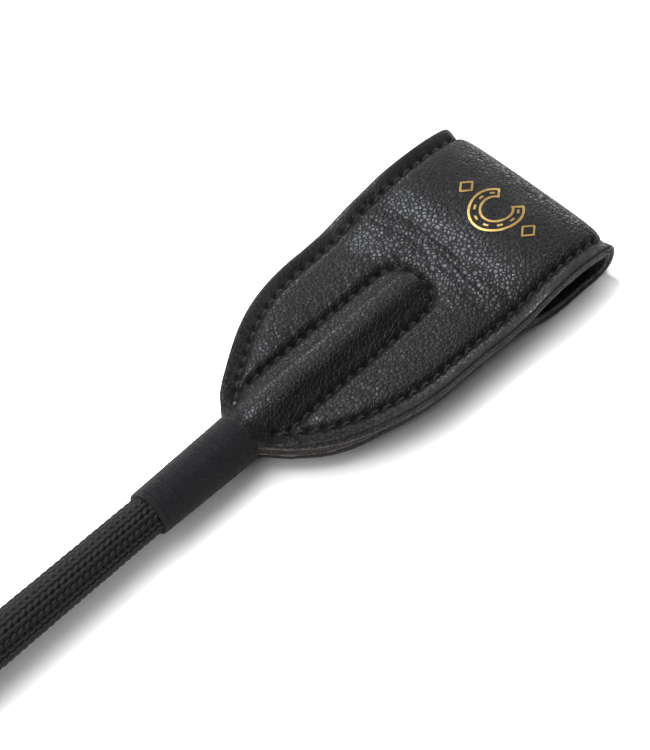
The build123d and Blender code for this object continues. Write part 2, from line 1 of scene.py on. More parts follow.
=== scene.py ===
import json
import math

import bpy
import numpy as np
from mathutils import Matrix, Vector


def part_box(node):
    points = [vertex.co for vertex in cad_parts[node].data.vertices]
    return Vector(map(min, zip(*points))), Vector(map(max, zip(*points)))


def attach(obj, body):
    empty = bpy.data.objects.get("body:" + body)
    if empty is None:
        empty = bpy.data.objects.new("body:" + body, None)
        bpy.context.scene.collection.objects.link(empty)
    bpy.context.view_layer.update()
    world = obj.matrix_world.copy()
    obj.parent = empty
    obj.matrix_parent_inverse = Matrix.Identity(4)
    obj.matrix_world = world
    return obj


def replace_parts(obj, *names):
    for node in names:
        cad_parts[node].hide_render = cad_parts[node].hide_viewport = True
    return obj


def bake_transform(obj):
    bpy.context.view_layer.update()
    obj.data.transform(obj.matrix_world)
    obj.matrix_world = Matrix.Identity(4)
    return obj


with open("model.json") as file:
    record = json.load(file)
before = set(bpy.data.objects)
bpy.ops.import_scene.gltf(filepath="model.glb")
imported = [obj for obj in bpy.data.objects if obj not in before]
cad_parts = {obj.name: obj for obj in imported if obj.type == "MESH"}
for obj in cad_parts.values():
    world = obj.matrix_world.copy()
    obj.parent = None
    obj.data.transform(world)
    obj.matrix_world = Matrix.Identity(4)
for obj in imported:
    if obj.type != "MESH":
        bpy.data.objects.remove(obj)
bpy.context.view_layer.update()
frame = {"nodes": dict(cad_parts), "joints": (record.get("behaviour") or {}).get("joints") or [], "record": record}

# Lengths in this script are millimetres until a mesh is made, and places come from the frame.
MM = 0.001
TABLE_GAP = 0.02                        # soft pieces that press on the table flatten this far above it
joints = {joint["name"]: joint for joint in frame["joints"]}
mounts = {mount["name"]: mount for mount in frame["record"]["mounts"]}


def mm(point):
    """A point of the frame, in millimetres."""
    return np.array(point, float) / MM


# ---- lines of points
def unit(vectors):
    """Vectors brought to a length of one."""
    return vectors / np.linalg.norm(vectors, axis=-1, keepdims=True)


def length_along(points):
    """How far along a line each of its points is."""
    return np.concatenate([[0], np.cumsum(np.linalg.norm(np.diff(points, axis=0), axis=1))])


def at_length(wanted, length, points):
    """The points of a line at the wanted lengths along it."""
    return np.stack([np.interp(wanted, length, column) for column in points.T], axis=-1)


# ---- the shaft's own axis
along = unit(np.array(mounts["shaft_clip"]["axis"], float))
upward = np.array([-along[2], 0.0, along[0]])
sideways = np.array([0.0, 1.0, 0.0])
swing_point = mm(joints["loop_swing"]["pos_m"])
CAP_TILT = 0.12                         # the cap tilts, so its box starts this far behind its middle
cap_back = mm(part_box("butt_cap")[0])[0] + CAP_TILT
butt = swing_point + along * (cap_back - swing_point[0]) / along[0]
butt[2] = swing_point[2]


def on_shaft(distance, radius, angle):
    """Points at a distance from the butt, at a radius and an angle round from +Y towards up."""
    distance, radius, angle = np.broadcast_arrays(distance, radius, angle)
    return (
        butt
        + distance[..., None] * along
        + (radius * np.cos(angle))[..., None] * sideways
        + (radius * np.sin(angle))[..., None] * upward
    )


# ---- noise
def lattice(i, j, seed):
    """A repeatable random number from -1 to 1 for each whole-number place."""
    h = (i.astype(np.int64) * 374761393 + j.astype(np.int64) * 668265263 + seed * 974634777) & 0x7FFFFFFF
    h = ((h ^ (h >> 13)) * 1274126177) & 0x7FFFFFFF
    return ((h ^ (h >> 16)) & 0xFFFF) / 32767.5 - 1


def noise(x, y, seed=0):
    """Smooth noise from -1 to 1 with a grain of one unit."""
    x, y = np.broadcast_arrays(np.asarray(x, float), np.asarray(y, float))
    i, j = np.floor(x), np.floor(y)
    u, v = x - i, y - j
    u, v = u * u * (3 - 2 * u), v * v * (3 - 2 * v)
    low = lattice(i, j, seed) * (1 - u) + lattice(i + 1, j, seed) * u
    high = lattice(i, j + 1, seed) * (1 - u) + lattice(i + 1, j + 1, seed) * u
    return low * (1 - v) + high * v


def smooth(x, start, end):
    """0 before start and 1 after end, easing between them."""
    t = np.clip((np.asarray(x, float) - start) / (end - start), 0, 1)
    return t * t * (3 - 2 * t)


def bell(x, width):
    """1 at 0, falling away on both sides."""
    return np.exp(-((x / width) ** 2))


# ---- meshes
def build(name, verts, faces, material, crease=50.0, attributes=None):
    """A mesh object from points in millimetres."""
    mesh = bpy.data.meshes.new(name)
    mesh.from_pydata((np.asarray(verts, float) * MM).tolist(), [], [list(f) for f in faces])
    mesh.validate()
    mesh.shade_smooth()
    mesh.set_sharp_from_angle(angle=math.radians(crease))
    for key, values in (attributes or {}).items():
        layer = mesh.attributes.new(key, "FLOAT", "POINT")
        layer.data.foreach_set("value", np.asarray(values, np.float32))
    mesh.materials.append(material)
    obj = bpy.data.objects.new(name, mesh)
    bpy.context.scene.collection.objects.link(obj)
    return obj


def ring_faces(rows, count, first):
    """Faces that join rings of points, with each end capped."""
    faces = []
    for r in range(rows - 1):
        a, b = first + r * count, first + (r + 1) * count
        faces += [(a + k, a + (k + 1) % count, b + (k + 1) % count, b + k) for k in range(count)]
    faces.append(tuple(range(first + count - 1, first - 1, -1)))
    faces.append(tuple(range(first + (rows - 1) * count, first + rows * count)))
    return faces


class Shells:
    """Collects closed shells, so that many small solids of one kind make one piece."""

    def __init__(self):
        self.points, self.faces, self.values = [], [], {}
        self.count = 0

    def rings(self, rings, **values):
        """Adds a closed shell from rings of points, with a value of each attribute for every point."""
        rings = np.asarray(rings, float)
        rows, around = rings.shape[:2]
        self.faces += ring_faces(rows, around, self.count)
        self.points.append(rings.reshape(-1, 3))
        for key, value in values.items():
            self.values.setdefault(key, []).append(np.broadcast_to(value, (rows, around)).ravel())
        self.count += rows * around

    def build(self, name, material, crease=50.0):
        """Makes one piece of all the shells, none of it below the table."""
        values = {key: np.concatenate(parts) for key, parts in self.values.items()}
        points = np.concatenate(self.points)
        points[:, 2] = np.maximum(points[:, 2], TABLE_GAP)
        return build(name, points, self.faces, material, crease, values)


def tube(centres, normals, radius, sides=8, flat=1.0):
    """Rings round a line of centres; flat is the section's height over its width."""
    centres, normals = np.asarray(centres, float), np.asarray(normals, float)
    forward = unit(np.gradient(centres, axis=0))
    side = unit(np.cross(forward, normals))
    up = np.cross(side, forward)
    angle = np.arange(sides) * 2 * math.pi / sides
    radius = np.broadcast_to(radius, len(centres))[:, None, None]
    across = side[:, None] * np.cos(angle)[None, :, None]
    rise = up[:, None] * (flat * np.sin(angle))[None, :, None]
    return centres[:, None] + radius * (across + rise)


# ---- materials
class Nodes:
    """A short way to write a node material."""

    def __init__(self, name):
        self.material = bpy.data.materials.new(name)
        self.material.use_nodes = True
        self.tree = self.material.node_tree
        self.shader = self.tree.nodes["Principled BSDF"]

    def add(self, kind, inputs=None, **settings):
        """A new node, with each input linked or set."""
        node = self.tree.nodes.new(kind)
        for key, value in settings.items():
            setattr(node, key, value)
        for key, value in (inputs or {}).items():
            if isinstance(value, bpy.types.NodeSocket):
                self.tree.links.new(value, node.inputs[key])
            else:
                node.inputs[key].default_value = value
        return node

    def link(self, output, key):
        """Links an output to the shader."""
        self.tree.links.new(output, self.shader.inputs[key])

    def set(self, key, value):
        """Sets a constant on the shader."""
        self.shader.inputs[key].default_value = value

    def millimetres(self):
        """The place on the piece at rest, in millimetres."""
        place = self.add("ShaderNodeTexCoord").outputs["Object"]
        return self.scaled(place, 1 / MM)

    def scaled(self, vector, factor):
        """A vector times a number."""
        keys = {0: vector, 1: (factor,) * 3}
        return self.add("ShaderNodeVectorMath", keys, operation="MULTIPLY").outputs[0]

    def math(self, operation, a, b=0.0, clamp=False):
        """Arithmetic on two values, each a socket or a number."""
        return self.add("ShaderNodeMath", {0: a, 1: b}, operation=operation, use_clamp=clamp).outputs[0]

    def ramp(self, value, low, high, start=0.0, end=1.0):
        """value from low to high, turned into start to end."""
        keys = {"Value": value, "From Min": low, "From Max": high, "To Min": start, "To Max": end}
        return self.add("ShaderNodeMapRange", keys, interpolation_type="SMOOTHSTEP").outputs[0]

    def mix(self, share, a, b):
        """Two colours mixed, each a socket or red, green and blue."""
        a, b = ((*colour, 1) if isinstance(colour, tuple) else colour for colour in (a, b))
        keys = {0: share, 6: a, 7: b}
        return self.add("ShaderNodeMix", keys, data_type="RGBA").outputs[2]

    def noise(self, place, scale, detail=2.0, roughness=0.5):
        """Fractal noise from 0 to 1."""
        keys = {"Vector": place, "Scale": scale, "Detail": detail, "Roughness": roughness}
        return self.add("ShaderNodeTexNoise", keys).outputs["Fac"]

    def attribute(self, name):
        """A value kept at the mesh's points."""
        return self.add("ShaderNodeAttribute", attribute_name=name).outputs["Fac"]

    def bump(self, height, distance):
        """A normal that follows a height, over a distance in metres."""
        keys = {"Height": height, "Distance": distance, "Strength": 1.0}
        return self.add("ShaderNodeBump", keys).outputs[0]


def leather(name, base, light, cell, depth, gloss=0.34, coat=0.05, press=False):
    """Pebbled leather: raised cells with fine cracks between them, satin on top and dull in the cracks, with
    painted shade in the cracks and pits and a lighter rim.
    """
    n = Nodes(name)
    place = n.millimetres()
    wobble = n.add("ShaderNodeTexNoise", {"Vector": place, "Scale": 0.9 / cell, "Detail": 2.0})
    shift = n.scaled(wobble.outputs["Color"], cell * 0.3)
    warped = n.add("ShaderNodeVectorMath", {0: place, 1: shift}, operation="ADD").outputs[0]
    pattern = {"Vector": warped, "Scale": 1 / cell, "Randomness": 0.95}
    edges = n.add("ShaderNodeTexVoronoi", pattern, feature="DISTANCE_TO_EDGE").outputs["Distance"]
    cells = n.add("ShaderNodeTexVoronoi", pattern).outputs["Distance"]
    pebble = n.ramp(edges, 0.0, 0.16)
    dome = n.math("SUBTRACT", 1.0, n.math("MULTIPLY", cells, cells))
    fine = n.noise(place, 3.2 / cell, 3.0, 0.6)
    broad = n.noise(place, 0.16, 3.0)
    height = n.math("ADD", n.math("MULTIPLY", pebble, 0.75), n.math("MULTIPLY", dome, 0.65))
    height = n.math("ADD", height, n.math("MULTIPLY", fine, 0.06))
    strength = n.ramp(broad, 0.35, 0.65, 0.55, 1.0)
    if press:
        strength = n.math("MULTIPLY", strength, n.ramp(n.attribute("press"), -1.0, 1.0, 1.7, 0.3))
    n.link(n.bump(n.math("MULTIPLY", height, strength), depth * MM), "Normal")
    # painted shade: the cracks between the pebbles are darker than the cells
    crack_shade = tuple(0.15 * c for c in base)
    body = n.mix(n.ramp(broad, 0.3, 0.7), base, light)
    tone = n.mix(pebble, crack_shade, body)
    if press:
        # painted shade: the pit value darkens needle holes, seam grooves and fold valleys; it also darkens the cut
        # edges and the border near the neck
        pit = n.attribute("pit")
        pit_shade = (0.35 * base[0], 0.3 * base[1], 0.25 * base[2])
        tone = n.mix(n.ramp(pit, 0.0, 0.8, 0.0, 0.95), tone, pit_shade)
        # lighter along the rim: rubbed wear together with a painted highlight along the edge
        worn = tuple(min(1.0, 2.4 * c + 0.01) for c in light)
        tone = n.mix(n.math("MULTIPLY", n.attribute("rim"), n.ramp(fine, 0.42, 0.7)), tone, worn)
    n.link(tone, "Base Color")
    rough = n.ramp(pebble, 0.0, 1.0, gloss + 0.4, gloss)
    rough = n.math("ADD", rough, n.ramp(fine, 0.3, 0.7, -0.04, 0.07))
    if press:
        rough = n.math("ADD", rough, n.math("MULTIPLY", n.attribute("pit"), 0.5), clamp=True)
    n.link(rough, "Roughness")
    n.set("Specular IOR Level", 0.21)
    n.set("Coat Weight", coat)
    n.set("Coat Roughness", 0.38)
    return n.material


def thread(name, dark, light, gloss):
    """Spun thread: fine slanting fibres with a soft sheen, and painted shade in the gaps between turns."""
    n = Nodes(name)
    twist = 0.35
    place = n.millimetres()
    turned = n.add("ShaderNodeMapping", {"Vector": place, "Rotation": (0.6, 0.9, 0.7)}).outputs[0]
    wave = {"Vector": turned, "Scale": 0.5 / twist, "Distortion": 2.0, "Detail": 2.0}
    strands = n.add("ShaderNodeTexWave", wave).outputs["Fac"]
    fibre = n.noise(turned, 5.0, 4.0, 0.8)
    tone = n.mix(n.math("MULTIPLY", strands, fibre), dark, light)
    # painted shade on the thread's sides and underside, where the gap value is high
    gap_shade = tuple(0.3 * c for c in dark)
    tone = n.mix(n.ramp(n.attribute("gap"), 0.2, 0.9), tone, gap_shade)
    n.link(tone, "Base Color")
    n.link(n.ramp(fibre, 0.3, 0.7, gloss, gloss + 0.25), "Roughness")
    height = n.math("ADD", n.math("MULTIPLY", strands, 0.6), n.math("MULTIPLY", fibre, 0.9))
    n.link(n.bump(height, 0.22 * MM), "Normal")
    n.set("Specular IOR Level", 0.24)
    n.set("Sheen Weight", 0.02)
    return n.material


def raw_edge(name, dark, light):
    """The cut edge of a ply: pressed fibres, uneven in tone, dyed in places."""
    n = Nodes(name)
    place = n.millimetres()
    fibre = n.noise(place, 5.0, 4.0, 0.7)
    dye = n.noise(place, 0.55, 3.0)
    tone = n.mix(n.ramp(fibre, 0.3, 0.7), dark, light)
    dyed = tuple(0.2 * c for c in dark)
    tone = n.mix(n.ramp(dye, 0.46, 0.62, 0.0, 0.8), tone, dyed)
    n.link(tone, "Base Color")
    n.set("Roughness", 0.85)
    n.link(n.bump(fibre, 0.12 * MM), "Normal")
    return n.material


def moulded(name, base, gloss):
    """Moulded plastic: a faint orange-peel surface with hairline scuffs."""
    n = Nodes(name)
    place = n.millimetres()
    peel = n.noise(place, 1.6, 2.0)
    stretched = n.add("ShaderNodeMapping", {"Vector": place, "Scale": (0.5, 6.0, 6.0)}).outputs[0]
    scuff = n.noise(stretched, 1.3, 4.0, 0.75)
    lighter = tuple(min(1.0, c * 1.9 + 0.006) for c in base)
    n.link(n.mix(n.ramp(scuff, 0.56, 0.74), base, lighter), "Base Color")
    n.link(n.ramp(scuff, 0.4, 0.75, gloss, gloss + 0.22), "Roughness")
    n.link(n.bump(n.math("ADD", peel, n.math("MULTIPLY", scuff, 0.4)), 0.04 * MM), "Normal")
    return n.material


def metal(name, base, worn, gloss):
    """Plated metal with fine polishing marks and duller patches."""
    n = Nodes(name)
    place = n.millimetres()
    patch = n.noise(place, 0.8, 3.0)
    stretched = n.add("ShaderNodeMapping", {"Vector": place, "Scale": (9.0, 1.0, 9.0)}).outputs[0]
    marks = n.noise(stretched, 1.5, 4.0, 0.7)
    n.link(n.mix(n.ramp(patch, 0.35, 0.7), base, worn), "Base Color")
    n.set("Metallic", 1.0)
    n.link(n.ramp(marks, 0.3, 0.7, gloss, gloss + 0.16), "Roughness")
    n.link(n.bump(marks, 0.02 * MM), "Normal")
    return n.material


KEEPER_DYE = (0.0028, 0.0028, 0.0032), (0.0065, 0.0065, 0.0072)
BLACK_DYE = (0.0028, 0.0028, 0.0031), (0.0065, 0.0063, 0.0068)
LINING_DYE = (0.02, 0.017, 0.016), (0.04, 0.034, 0.032)
KEEPER_LEATHER = leather("keeper_leather", *KEEPER_DYE, 0.8, 0.125, press=True)
LINING = leather("lining_leather", *LINING_DYE, 0.5, 0.05, gloss=0.6, coat=0.0)
GRIP_LEATHER = leather("grip_leather", *BLACK_DYE, 0.85, 0.15, press=True)
STRAP_LEATHER = leather("strap_leather", *BLACK_DYE, 0.6, 0.09, press=True)
CORE_EDGE = raw_edge("core_edge", (0.03, 0.023, 0.02), (0.12, 0.095, 0.085))
SEAM_THREAD = thread("seam_thread", (0.006, 0.006, 0.007), (0.03, 0.03, 0.034), 0.36)
WHIPPING_THREAD = thread("whipping_thread", (0.0008, 0.0008, 0.002), (0.005, 0.0047, 0.0078), 0.45)
CAP_PLASTIC = moulded("cap_plastic", (0.005, 0.005, 0.006), 0.36)
GOLD = metal("gold_tone", (0.6, 0.4, 0.13), (0.48, 0.31, 0.1), 0.25)


def braid_material():
    """Lacquered braid: brown-black strands, with painted shade between them."""
    n = Nodes("braid")
    place = n.millimetres()
    fibre = n.noise(place, 6.0, 4.0, 0.7)
    gap = n.attribute("gap")
    tone = n.mix(n.ramp(fibre, 0.3, 0.7), (0.003, 0.0026, 0.0022), (0.0085, 0.0075, 0.0065))
    # painted shade in the valleys between the strands
    n.link(n.mix(n.ramp(gap, 0.25, 0.95), tone, (0.0015, 0.0013, 0.0013)), "Base Color")
    n.link(n.ramp(fibre, 0.3, 0.7, 0.42, 0.65), "Roughness")
    n.link(n.bump(fibre, 0.09 * MM), "Normal")
    n.set("Specular IOR Level", 0.17)
    return n.material


BRAID = braid_material()

# ---- keeper: side profile and plan
flex = mm(joints["keeper_flex"]["pos_m"])
squeeze = mm(joints["leaf_squeeze"]["pos_m"])
LEAF = 2.4                              # from the middle of the keeper to a leaf's outer face
LOWER_TRIM = 0.9                        # how much narrower the lower leaf is, each side
FLEX_LINE = 51.5                        # the keeper's bend, from its neck
KEEPER_START = 4.4                      # from the neck, under the whipping
x_neck = flex[0] - FLEX_LINE
squeeze_line = squeeze[0] - x_neck
fold_reach, half_width, crest_height = mm(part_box("keeper_leather_upper")[1]) - [x_neck, 0, 0]
CREST, CREST_RADIUS, NOSE_RADIUS, LOWER_FLAT_START = 67.0, 43.0, 3.0, 70.0
SHOULDER = ((5.0, 5.2), (40.0, 19.6), 46.0)      # an arc in plan: its start, its end and its radius
STRAIGHT_START = 58.0                   # from here on the edges are parallel
slope = -along[2] / along[0]


class Turtle:
    """Walks a line in straight runs and arcs, leaving a point every fifth of a millimetre."""

    def __init__(self, start, heading):
        self.points, self.heading = [np.array(start, float)], heading

    def go(self, length, turn=0.0):
        """A straight run, or one that turns evenly on its way."""
        steps = max(2, int(length / 0.2))
        for _ in range(steps):
            self.heading += turn / steps / 2
            move = np.array([math.cos(self.heading), math.sin(self.heading)]) * length / steps
            self.points.append(self.points[-1] + move)
            self.heading += turn / steps / 2

    def arc(self, radius, turn):
        """An arc of a radius, to the left for a turn over 0."""
        self.go(radius * abs(turn), turn)


def s_bend(run, rise):
    """Radius and angle of two equal arcs that shift a level line by rise over run."""
    angle = 2 * math.atan(abs(rise) / run)
    return run / 2 / math.sin(angle), angle


def keeper_profile():
    """The strip's outer face from the side, from the upper leaf's neck round to the lower one's."""
    top, bottom = flex[2] + LEAF, flex[2] - LEAF
    rise_radius, rise = s_bend(CREST - FLEX_LINE, crest_height - top)
    drop_radius, drop = s_bend(LOWER_FLAT_START - FLEX_LINE, bottom)
    turn = math.asin((fold_reach - CREST - NOSE_RADIUS) / (CREST_RADIUS - NOSE_RADIUS))
    nose_height = crest_height - CREST_RADIUS + (CREST_RADIUS - NOSE_RADIUS) * math.cos(turn)
    flat = FLEX_LINE - KEEPER_START
    path = Turtle((KEEPER_START, top + flat * slope), -slope)
    path.go(flat, slope)
    path.arc(rise_radius, rise)
    path.arc(rise_radius, -rise)
    path.arc(CREST_RADIUS, -turn)
    path.arc(NOSE_RADIUS, turn - math.pi / 2)
    path.arc(nose_height, -math.pi / 2)
    path.go(fold_reach - nose_height - LOWER_FLAT_START)
    path.arc(drop_radius, -drop)
    path.arc(drop_radius, drop)
    path.go(flat, -slope)
    points = np.array(path.points)
    # Ease the changes of curvature, as leather does, and measure along the result.
    reach = 5
    padded = np.concatenate([points[:1]] * reach + [points] + [points[-1:]] * reach)
    kernel = np.hanning(2 * reach + 3)[1:-1]
    kernel /= kernel.sum()
    eased = np.stack([np.convolve(padded[:, k], kernel, "valid") for k in (0, 1)], axis=1)
    return eased, length_along(eased)


profile, profile_length = keeper_profile()
STRIP = profile_length[-1]
profile_direction = unit(np.gradient(profile, profile_length, axis=0))


def strip_place(s):
    """Place and outward normal (x, z) at a length along the strip."""
    place = at_length(s, profile_length, profile)
    direction = unit(at_length(s, profile_length, profile_direction))
    return place, np.stack([-direction[..., 1], direction[..., 0]], axis=-1)


def strip_at(x, upper=True):
    """The length along the strip where a leaf reaches a distance from the neck."""
    half = len(profile) // 2
    if upper:
        return float(np.interp(x, profile[:half, 0], profile_length[:half]))
    return float(np.interp(-x, -profile[half:, 0], profile_length[half:]))


def from_neck(s):
    """Distance along either leaf from the neck, and 1 on the upper leaf or -1 on the lower one."""
    s = np.asarray(s, float)
    leaf = np.where(s < STRIP / 2, 1, -1)
    return np.where(leaf > 0, s, STRIP - s) + KEEPER_START, leaf


def plan_half_width(q):
    """Half the keeper's width, and the cosine of its edge's slope, at a distance from the neck."""
    (x0, y0), (x1, y1), radius = SHOULDER
    chord = math.hypot(x1 - x0, y1 - y0)
    sag = math.sqrt(radius**2 - chord**2 / 4)
    cx = (x0 + x1) / 2 + (y1 - y0) / chord * sag
    cy = (y0 + y1) / 2 - (x1 - x0) / chord * sag
    q = np.asarray(q, float)
    arc_q = np.clip(q, x0, x1)
    arc_width = cy + np.sqrt(np.maximum(radius**2 - (arc_q - cx) ** 2, 0))
    share = np.clip((q - x1) / (STRAIGHT_START - x1), 0, 1)
    width = np.where(q < x1, arc_width, y1 + (half_width - y1) * share)
    width = np.where(q < x0, y0 - (x0 - q) * 0.9, width)
    cosine = np.where(q < x1, (arc_width - cy) / radius, 1.0)
    return width, cosine


def leaf_width(s):
    """Half width and edge slope at a length along the strip; the lower leaf is cut a little narrower."""
    q, leaf = from_neck(s)
    width, cosine = plan_half_width(q)
    to_fold = STRIP / 2 + KEEPER_START - q
    trim = LOWER_TRIM * (leaf < 0) * smooth(q, 10.0, 25.0) * smooth(to_fold, 1.0, 10.0)
    return width - trim - 0.8 * (1 - smooth(q, KEEPER_START, 9.0)), cosine


def lift(s, x, y):
    """How far the handled upper leaf stands off its plain profile: bowed and a little twisted."""
    upper = 1 - smooth(s, STRIP / 2 - 2.0, STRIP / 2 + 9.0)
    bow = 0.6 * bell(x - 54.0, 5.0) - 0.25 * smooth(x, 60.0, 67.0)
    twist = 0.8 * smooth(x, 45.0, 54.0) - 0.4 * smooth(x, 56.0, 70.0)
    return upper * (bow + twist * y / half_width)


# ---- keeper: relief of its faces
SEAM_INSET, STITCH_PITCH = 3.0, 2.7
CHANNEL_HALF, CHANNEL_END, CHANNEL_CORNER = 6.0, 50.4, 5.0
RIDGE = 4.85                            # radius of the leather over the rod
ROD_END = 47.2                          # the rod's end with its cap, from the neck


def channel_distance(q, y):
    """Distance outside the channel's U seam, negative inside it."""
    dx = np.maximum(q - (CHANNEL_END - CHANNEL_CORNER), 0)
    dy = np.maximum(np.abs(y) - (CHANNEL_HALF - CHANNEL_CORNER), 0)
    return np.hypot(dx, dy) - CHANNEL_CORNER


def channel_foot(q):
    """Half the channel's width between its seams, closing in round the rod's end."""
    beyond = np.clip(q - (CHANNEL_END - CHANNEL_CORNER), 0, CHANNEL_CORNER)
    return CHANNEL_HALF - CHANNEL_CORNER + np.sqrt(CHANNEL_CORNER**2 - beyond**2)


def ridge_height(q, y):
    """How far the rod lifts the leather: round over the rod, then straight down to the seams."""
    q, y = np.broadcast_arrays(q, np.abs(y))
    beyond = np.clip((q - (ROD_END - 3.0)) / (CHANNEL_END - 0.3 - (ROD_END - 3.0)), 0, 1)
    rise = (RIDGE - 0.6 * (1 - smooth(q, 4.5, 10.0)) - LEAF) * np.sqrt(1 - beyond**2.6)
    radius = LEAF + rise
    foot = np.maximum(channel_foot(q), 0.05)
    reach = np.hypot(foot, LEAF)
    tangent = np.arctan2(foot, LEAF) - np.arccos(np.clip(radius / reach, 0, 1))
    shoulder = radius * np.sin(tangent)
    round_part = np.sqrt(np.maximum(radius**2 - y**2, 0)) - LEAF
    fall = (y - shoulder) / np.maximum(foot - shoulder, 0.05)
    top = radius * np.cos(tangent) - LEAF
    straight = top * (1 - fall) - 0.22 * np.sin(math.pi * np.clip(fall, 0, 1)) * smooth(top, 0.0, 1.5)
    return np.where(y < shoulder, round_part, np.maximum(straight, 0)) * (y < foot)


def seam_holes(path):
    """Where the needle went through: even steps along a seam given as (s, y) points."""
    place, _ = strip_place(path[:, 0])
    solid = np.stack([place[:, 0], path[:, 1], place[:, 1]], axis=1)
    length = length_along(solid)
    count = int(round(length[-1] / STITCH_PITCH))
    return at_length(np.linspace(0, length[-1], count + 1), length, path)


def edge_seam_path(side):
    """The seam along one edge, from the upper leaf's neck round the fold, as (s, y) points."""
    s = np.linspace(strip_at(9.0), STRIP - strip_at(9.0), 1600)
    width, cosine = leaf_width(s)
    return np.stack([s, side * (width - SEAM_INSET / cosine)], axis=1)


def channel_seam_path(upper):
    """The U seam on one leaf, as (s, y) points."""
    start, corner = 11.0, CHANNEL_END - CHANNEL_CORNER
    turn = np.linspace(0, math.pi / 2, 24)
    q = np.concatenate([np.linspace(start, corner, 120)[:-1], corner + CHANNEL_CORNER * np.sin(turn)])
    inner = CHANNEL_HALF - CHANNEL_CORNER
    y = np.concatenate([np.full(119, CHANNEL_HALF), inner + CHANNEL_CORNER * np.cos(turn)])
    q, y = np.concatenate([q, q[::-1]]), np.concatenate([y, -y[::-1]])
    s = q - KEEPER_START
    return np.stack([s if upper else STRIP - s, y], axis=1)


edge_holes = [seam_holes(edge_seam_path(side)) for side in (1, -1)]
channel_holes = [seam_holes(channel_seam_path(upper)) for upper in (True, False)]
all_holes = np.concatenate(edge_holes + channel_holes)


def hole_pull(s, y):
    """1 at a needle hole, falling to 0 about half a millimetre away."""
    pull = np.zeros(np.shape(s))
    for hole in all_holes:
        near = (np.abs(s - hole[0]) < 1.6) & (np.abs(y - hole[1]) < 1.6)
        if near.any():
            squared = (s[near] - hole[0]) ** 2 + (y[near] - hole[1]) ** 2
            pull[near] = np.maximum(pull[near], np.exp(-squared / 0.3))
    return pull


def face_relief(s, y):
    """Height of a leaf's finished face over its plain profile, with its pit, rim and press values: the pit is
    painted shade and the rim a lighter edge.
    """
    q, leaf = from_neck(s)
    seed = np.where(leaf > 0, 0.0, 57.0)
    width, cosine = leaf_width(s)
    edge = (width - np.abs(y)) * cosine
    seam = np.abs(edge - SEAM_INSET)
    channel = channel_distance(q, y)
    inside = channel < 0
    to_channel = np.where(q < CHANNEL_END + 12, np.abs(channel), 12.0)
    near_channel = smooth(q, 9.0, 13.0)
    spread = np.where(edge < SEAM_INSET, 1.5, 0.6)
    groove = 0.42 * np.exp(-((seam / spread) ** 1.6))
    groove = groove + 0.45 * bell(to_channel, 0.65) * near_channel
    panel = (edge > SEAM_INSET) & ~inside
    resting = (leaf < 0) * smooth(q, 57.0, 63.0)
    padding = (1 - np.exp(-seam / 2.0)) * (1 - np.exp(-to_channel / 2.0))
    puff = np.where(panel, (0.8 - 0.65 * resting) * padding, 0.0)
    border = 0.16 * smooth(seam, 0.3, 2.6) * (edge < SEAM_INSET)
    ridge = np.where(inside, ridge_height(q, y), 0.0)
    # Gathers: short folds that fade away from each seam, slanting over the rod.
    slant = np.where(inside, 0.76, 1.25)
    a, b = q * np.cos(slant) + y * np.sin(slant), q * np.sin(slant) - y * np.cos(slant)
    folds = noise(a / 3.0 + seed, b / 0.68 + seed, 3) + 0.6 * noise(a / 1.5 + seed, b / 0.42, 4)
    draw = np.exp(-to_channel / 2.2) * near_channel + 0.35 * np.exp(-seam / 0.9) * (edge > SEAM_INSET)
    flank = smooth(np.abs(y), 1.2, 3.2)
    draw = np.where(inside, np.where(y < 0, 0.38, 0.2) * flank, draw)
    neck_folds = 0.7 * (1 - smooth(q, 7.0, 16.0)) * smooth(np.abs(y), 3.0, 5.0)
    gather = 0.2 * folds * np.clip(draw + neck_folds, 0, 1.0)
    sunk = 0.75 * (1 - smooth(q, KEEPER_START, 19.0)) * smooth(np.abs(y), 2.8, 5.0)
    # Creases across the keeper where it bends, past the end of the rod.
    bend = bell(q - 55.5, 5.0) * (edge > SEAM_INSET * 0.6)
    skew = q + 0.06 * np.abs(y) + 0.5 * noise(q / 6, y / 7 + seed, 8)
    crease = bend * (0.075 * noise(skew / 0.75, y / 9 + seed, 5) + 0.045 * noise(skew / 0.4, y / 4.5, 6))
    swell = 0.13 * noise(q / 13 + seed, y / 15, 7) * smooth(edge, 0.5, 4.0)
    pull = hole_pull(s, y)
    roll = np.clip(1 - edge / 0.5, 0, 1)
    rounding = 0.35 * (1 - np.sqrt(np.maximum(1 - roll**2, 0)))
    height = puff + border + ridge + gather + crease + swell - groove - 0.5 * pull - rounding - sunk
    # The pit value is painted shade in needle holes, seam and channel grooves and the valleys of gathers and
    # creases; it also darkens the border near the neck.
    pit = 1.1 * pull + 0.45 * bell(seam, 0.4) + 0.5 * bell(to_channel, 0.4)
    dark_border = 0.55 * (edge < SEAM_INSET) * (1 - smooth(q, 16.0, 38.0))
    dark_border = dark_border * (1 + 0.4 * noise(q / 2.5, edge + seed, 9))
    shaded = np.clip(-4.5 * gather, 0, 0.75) + np.clip(-3.5 * crease, 0, 0.5)
    pit = np.clip(pit + dark_border + shaded, 0, 1)
    rim = np.clip(1 - edge / 0.7, 0, 1)
    pressed = smooth(-edge, -SEAM_INSET - 0.3, 0.6 - SEAM_INSET) * smooth(q, 9.0, 16.0)
    return height, pit, rim, pressed - bend


def strip_point(s, y, height):
    """A point of the strip in the frame. Near the neck the flaps are pushed a little to one side."""
    place, normal = strip_place(s)
    x = place[..., 0] + normal[..., 0] * height
    z = place[..., 1] + normal[..., 1] * height + lift(s, place[..., 0], y)
    sway = 0.55 * bell(place[..., 0] - 15.0, 7.0) * smooth(np.abs(y), 5.0, 12.0)
    return np.stack([x + x_neck, y - sway + 0 * x, z], axis=-1)


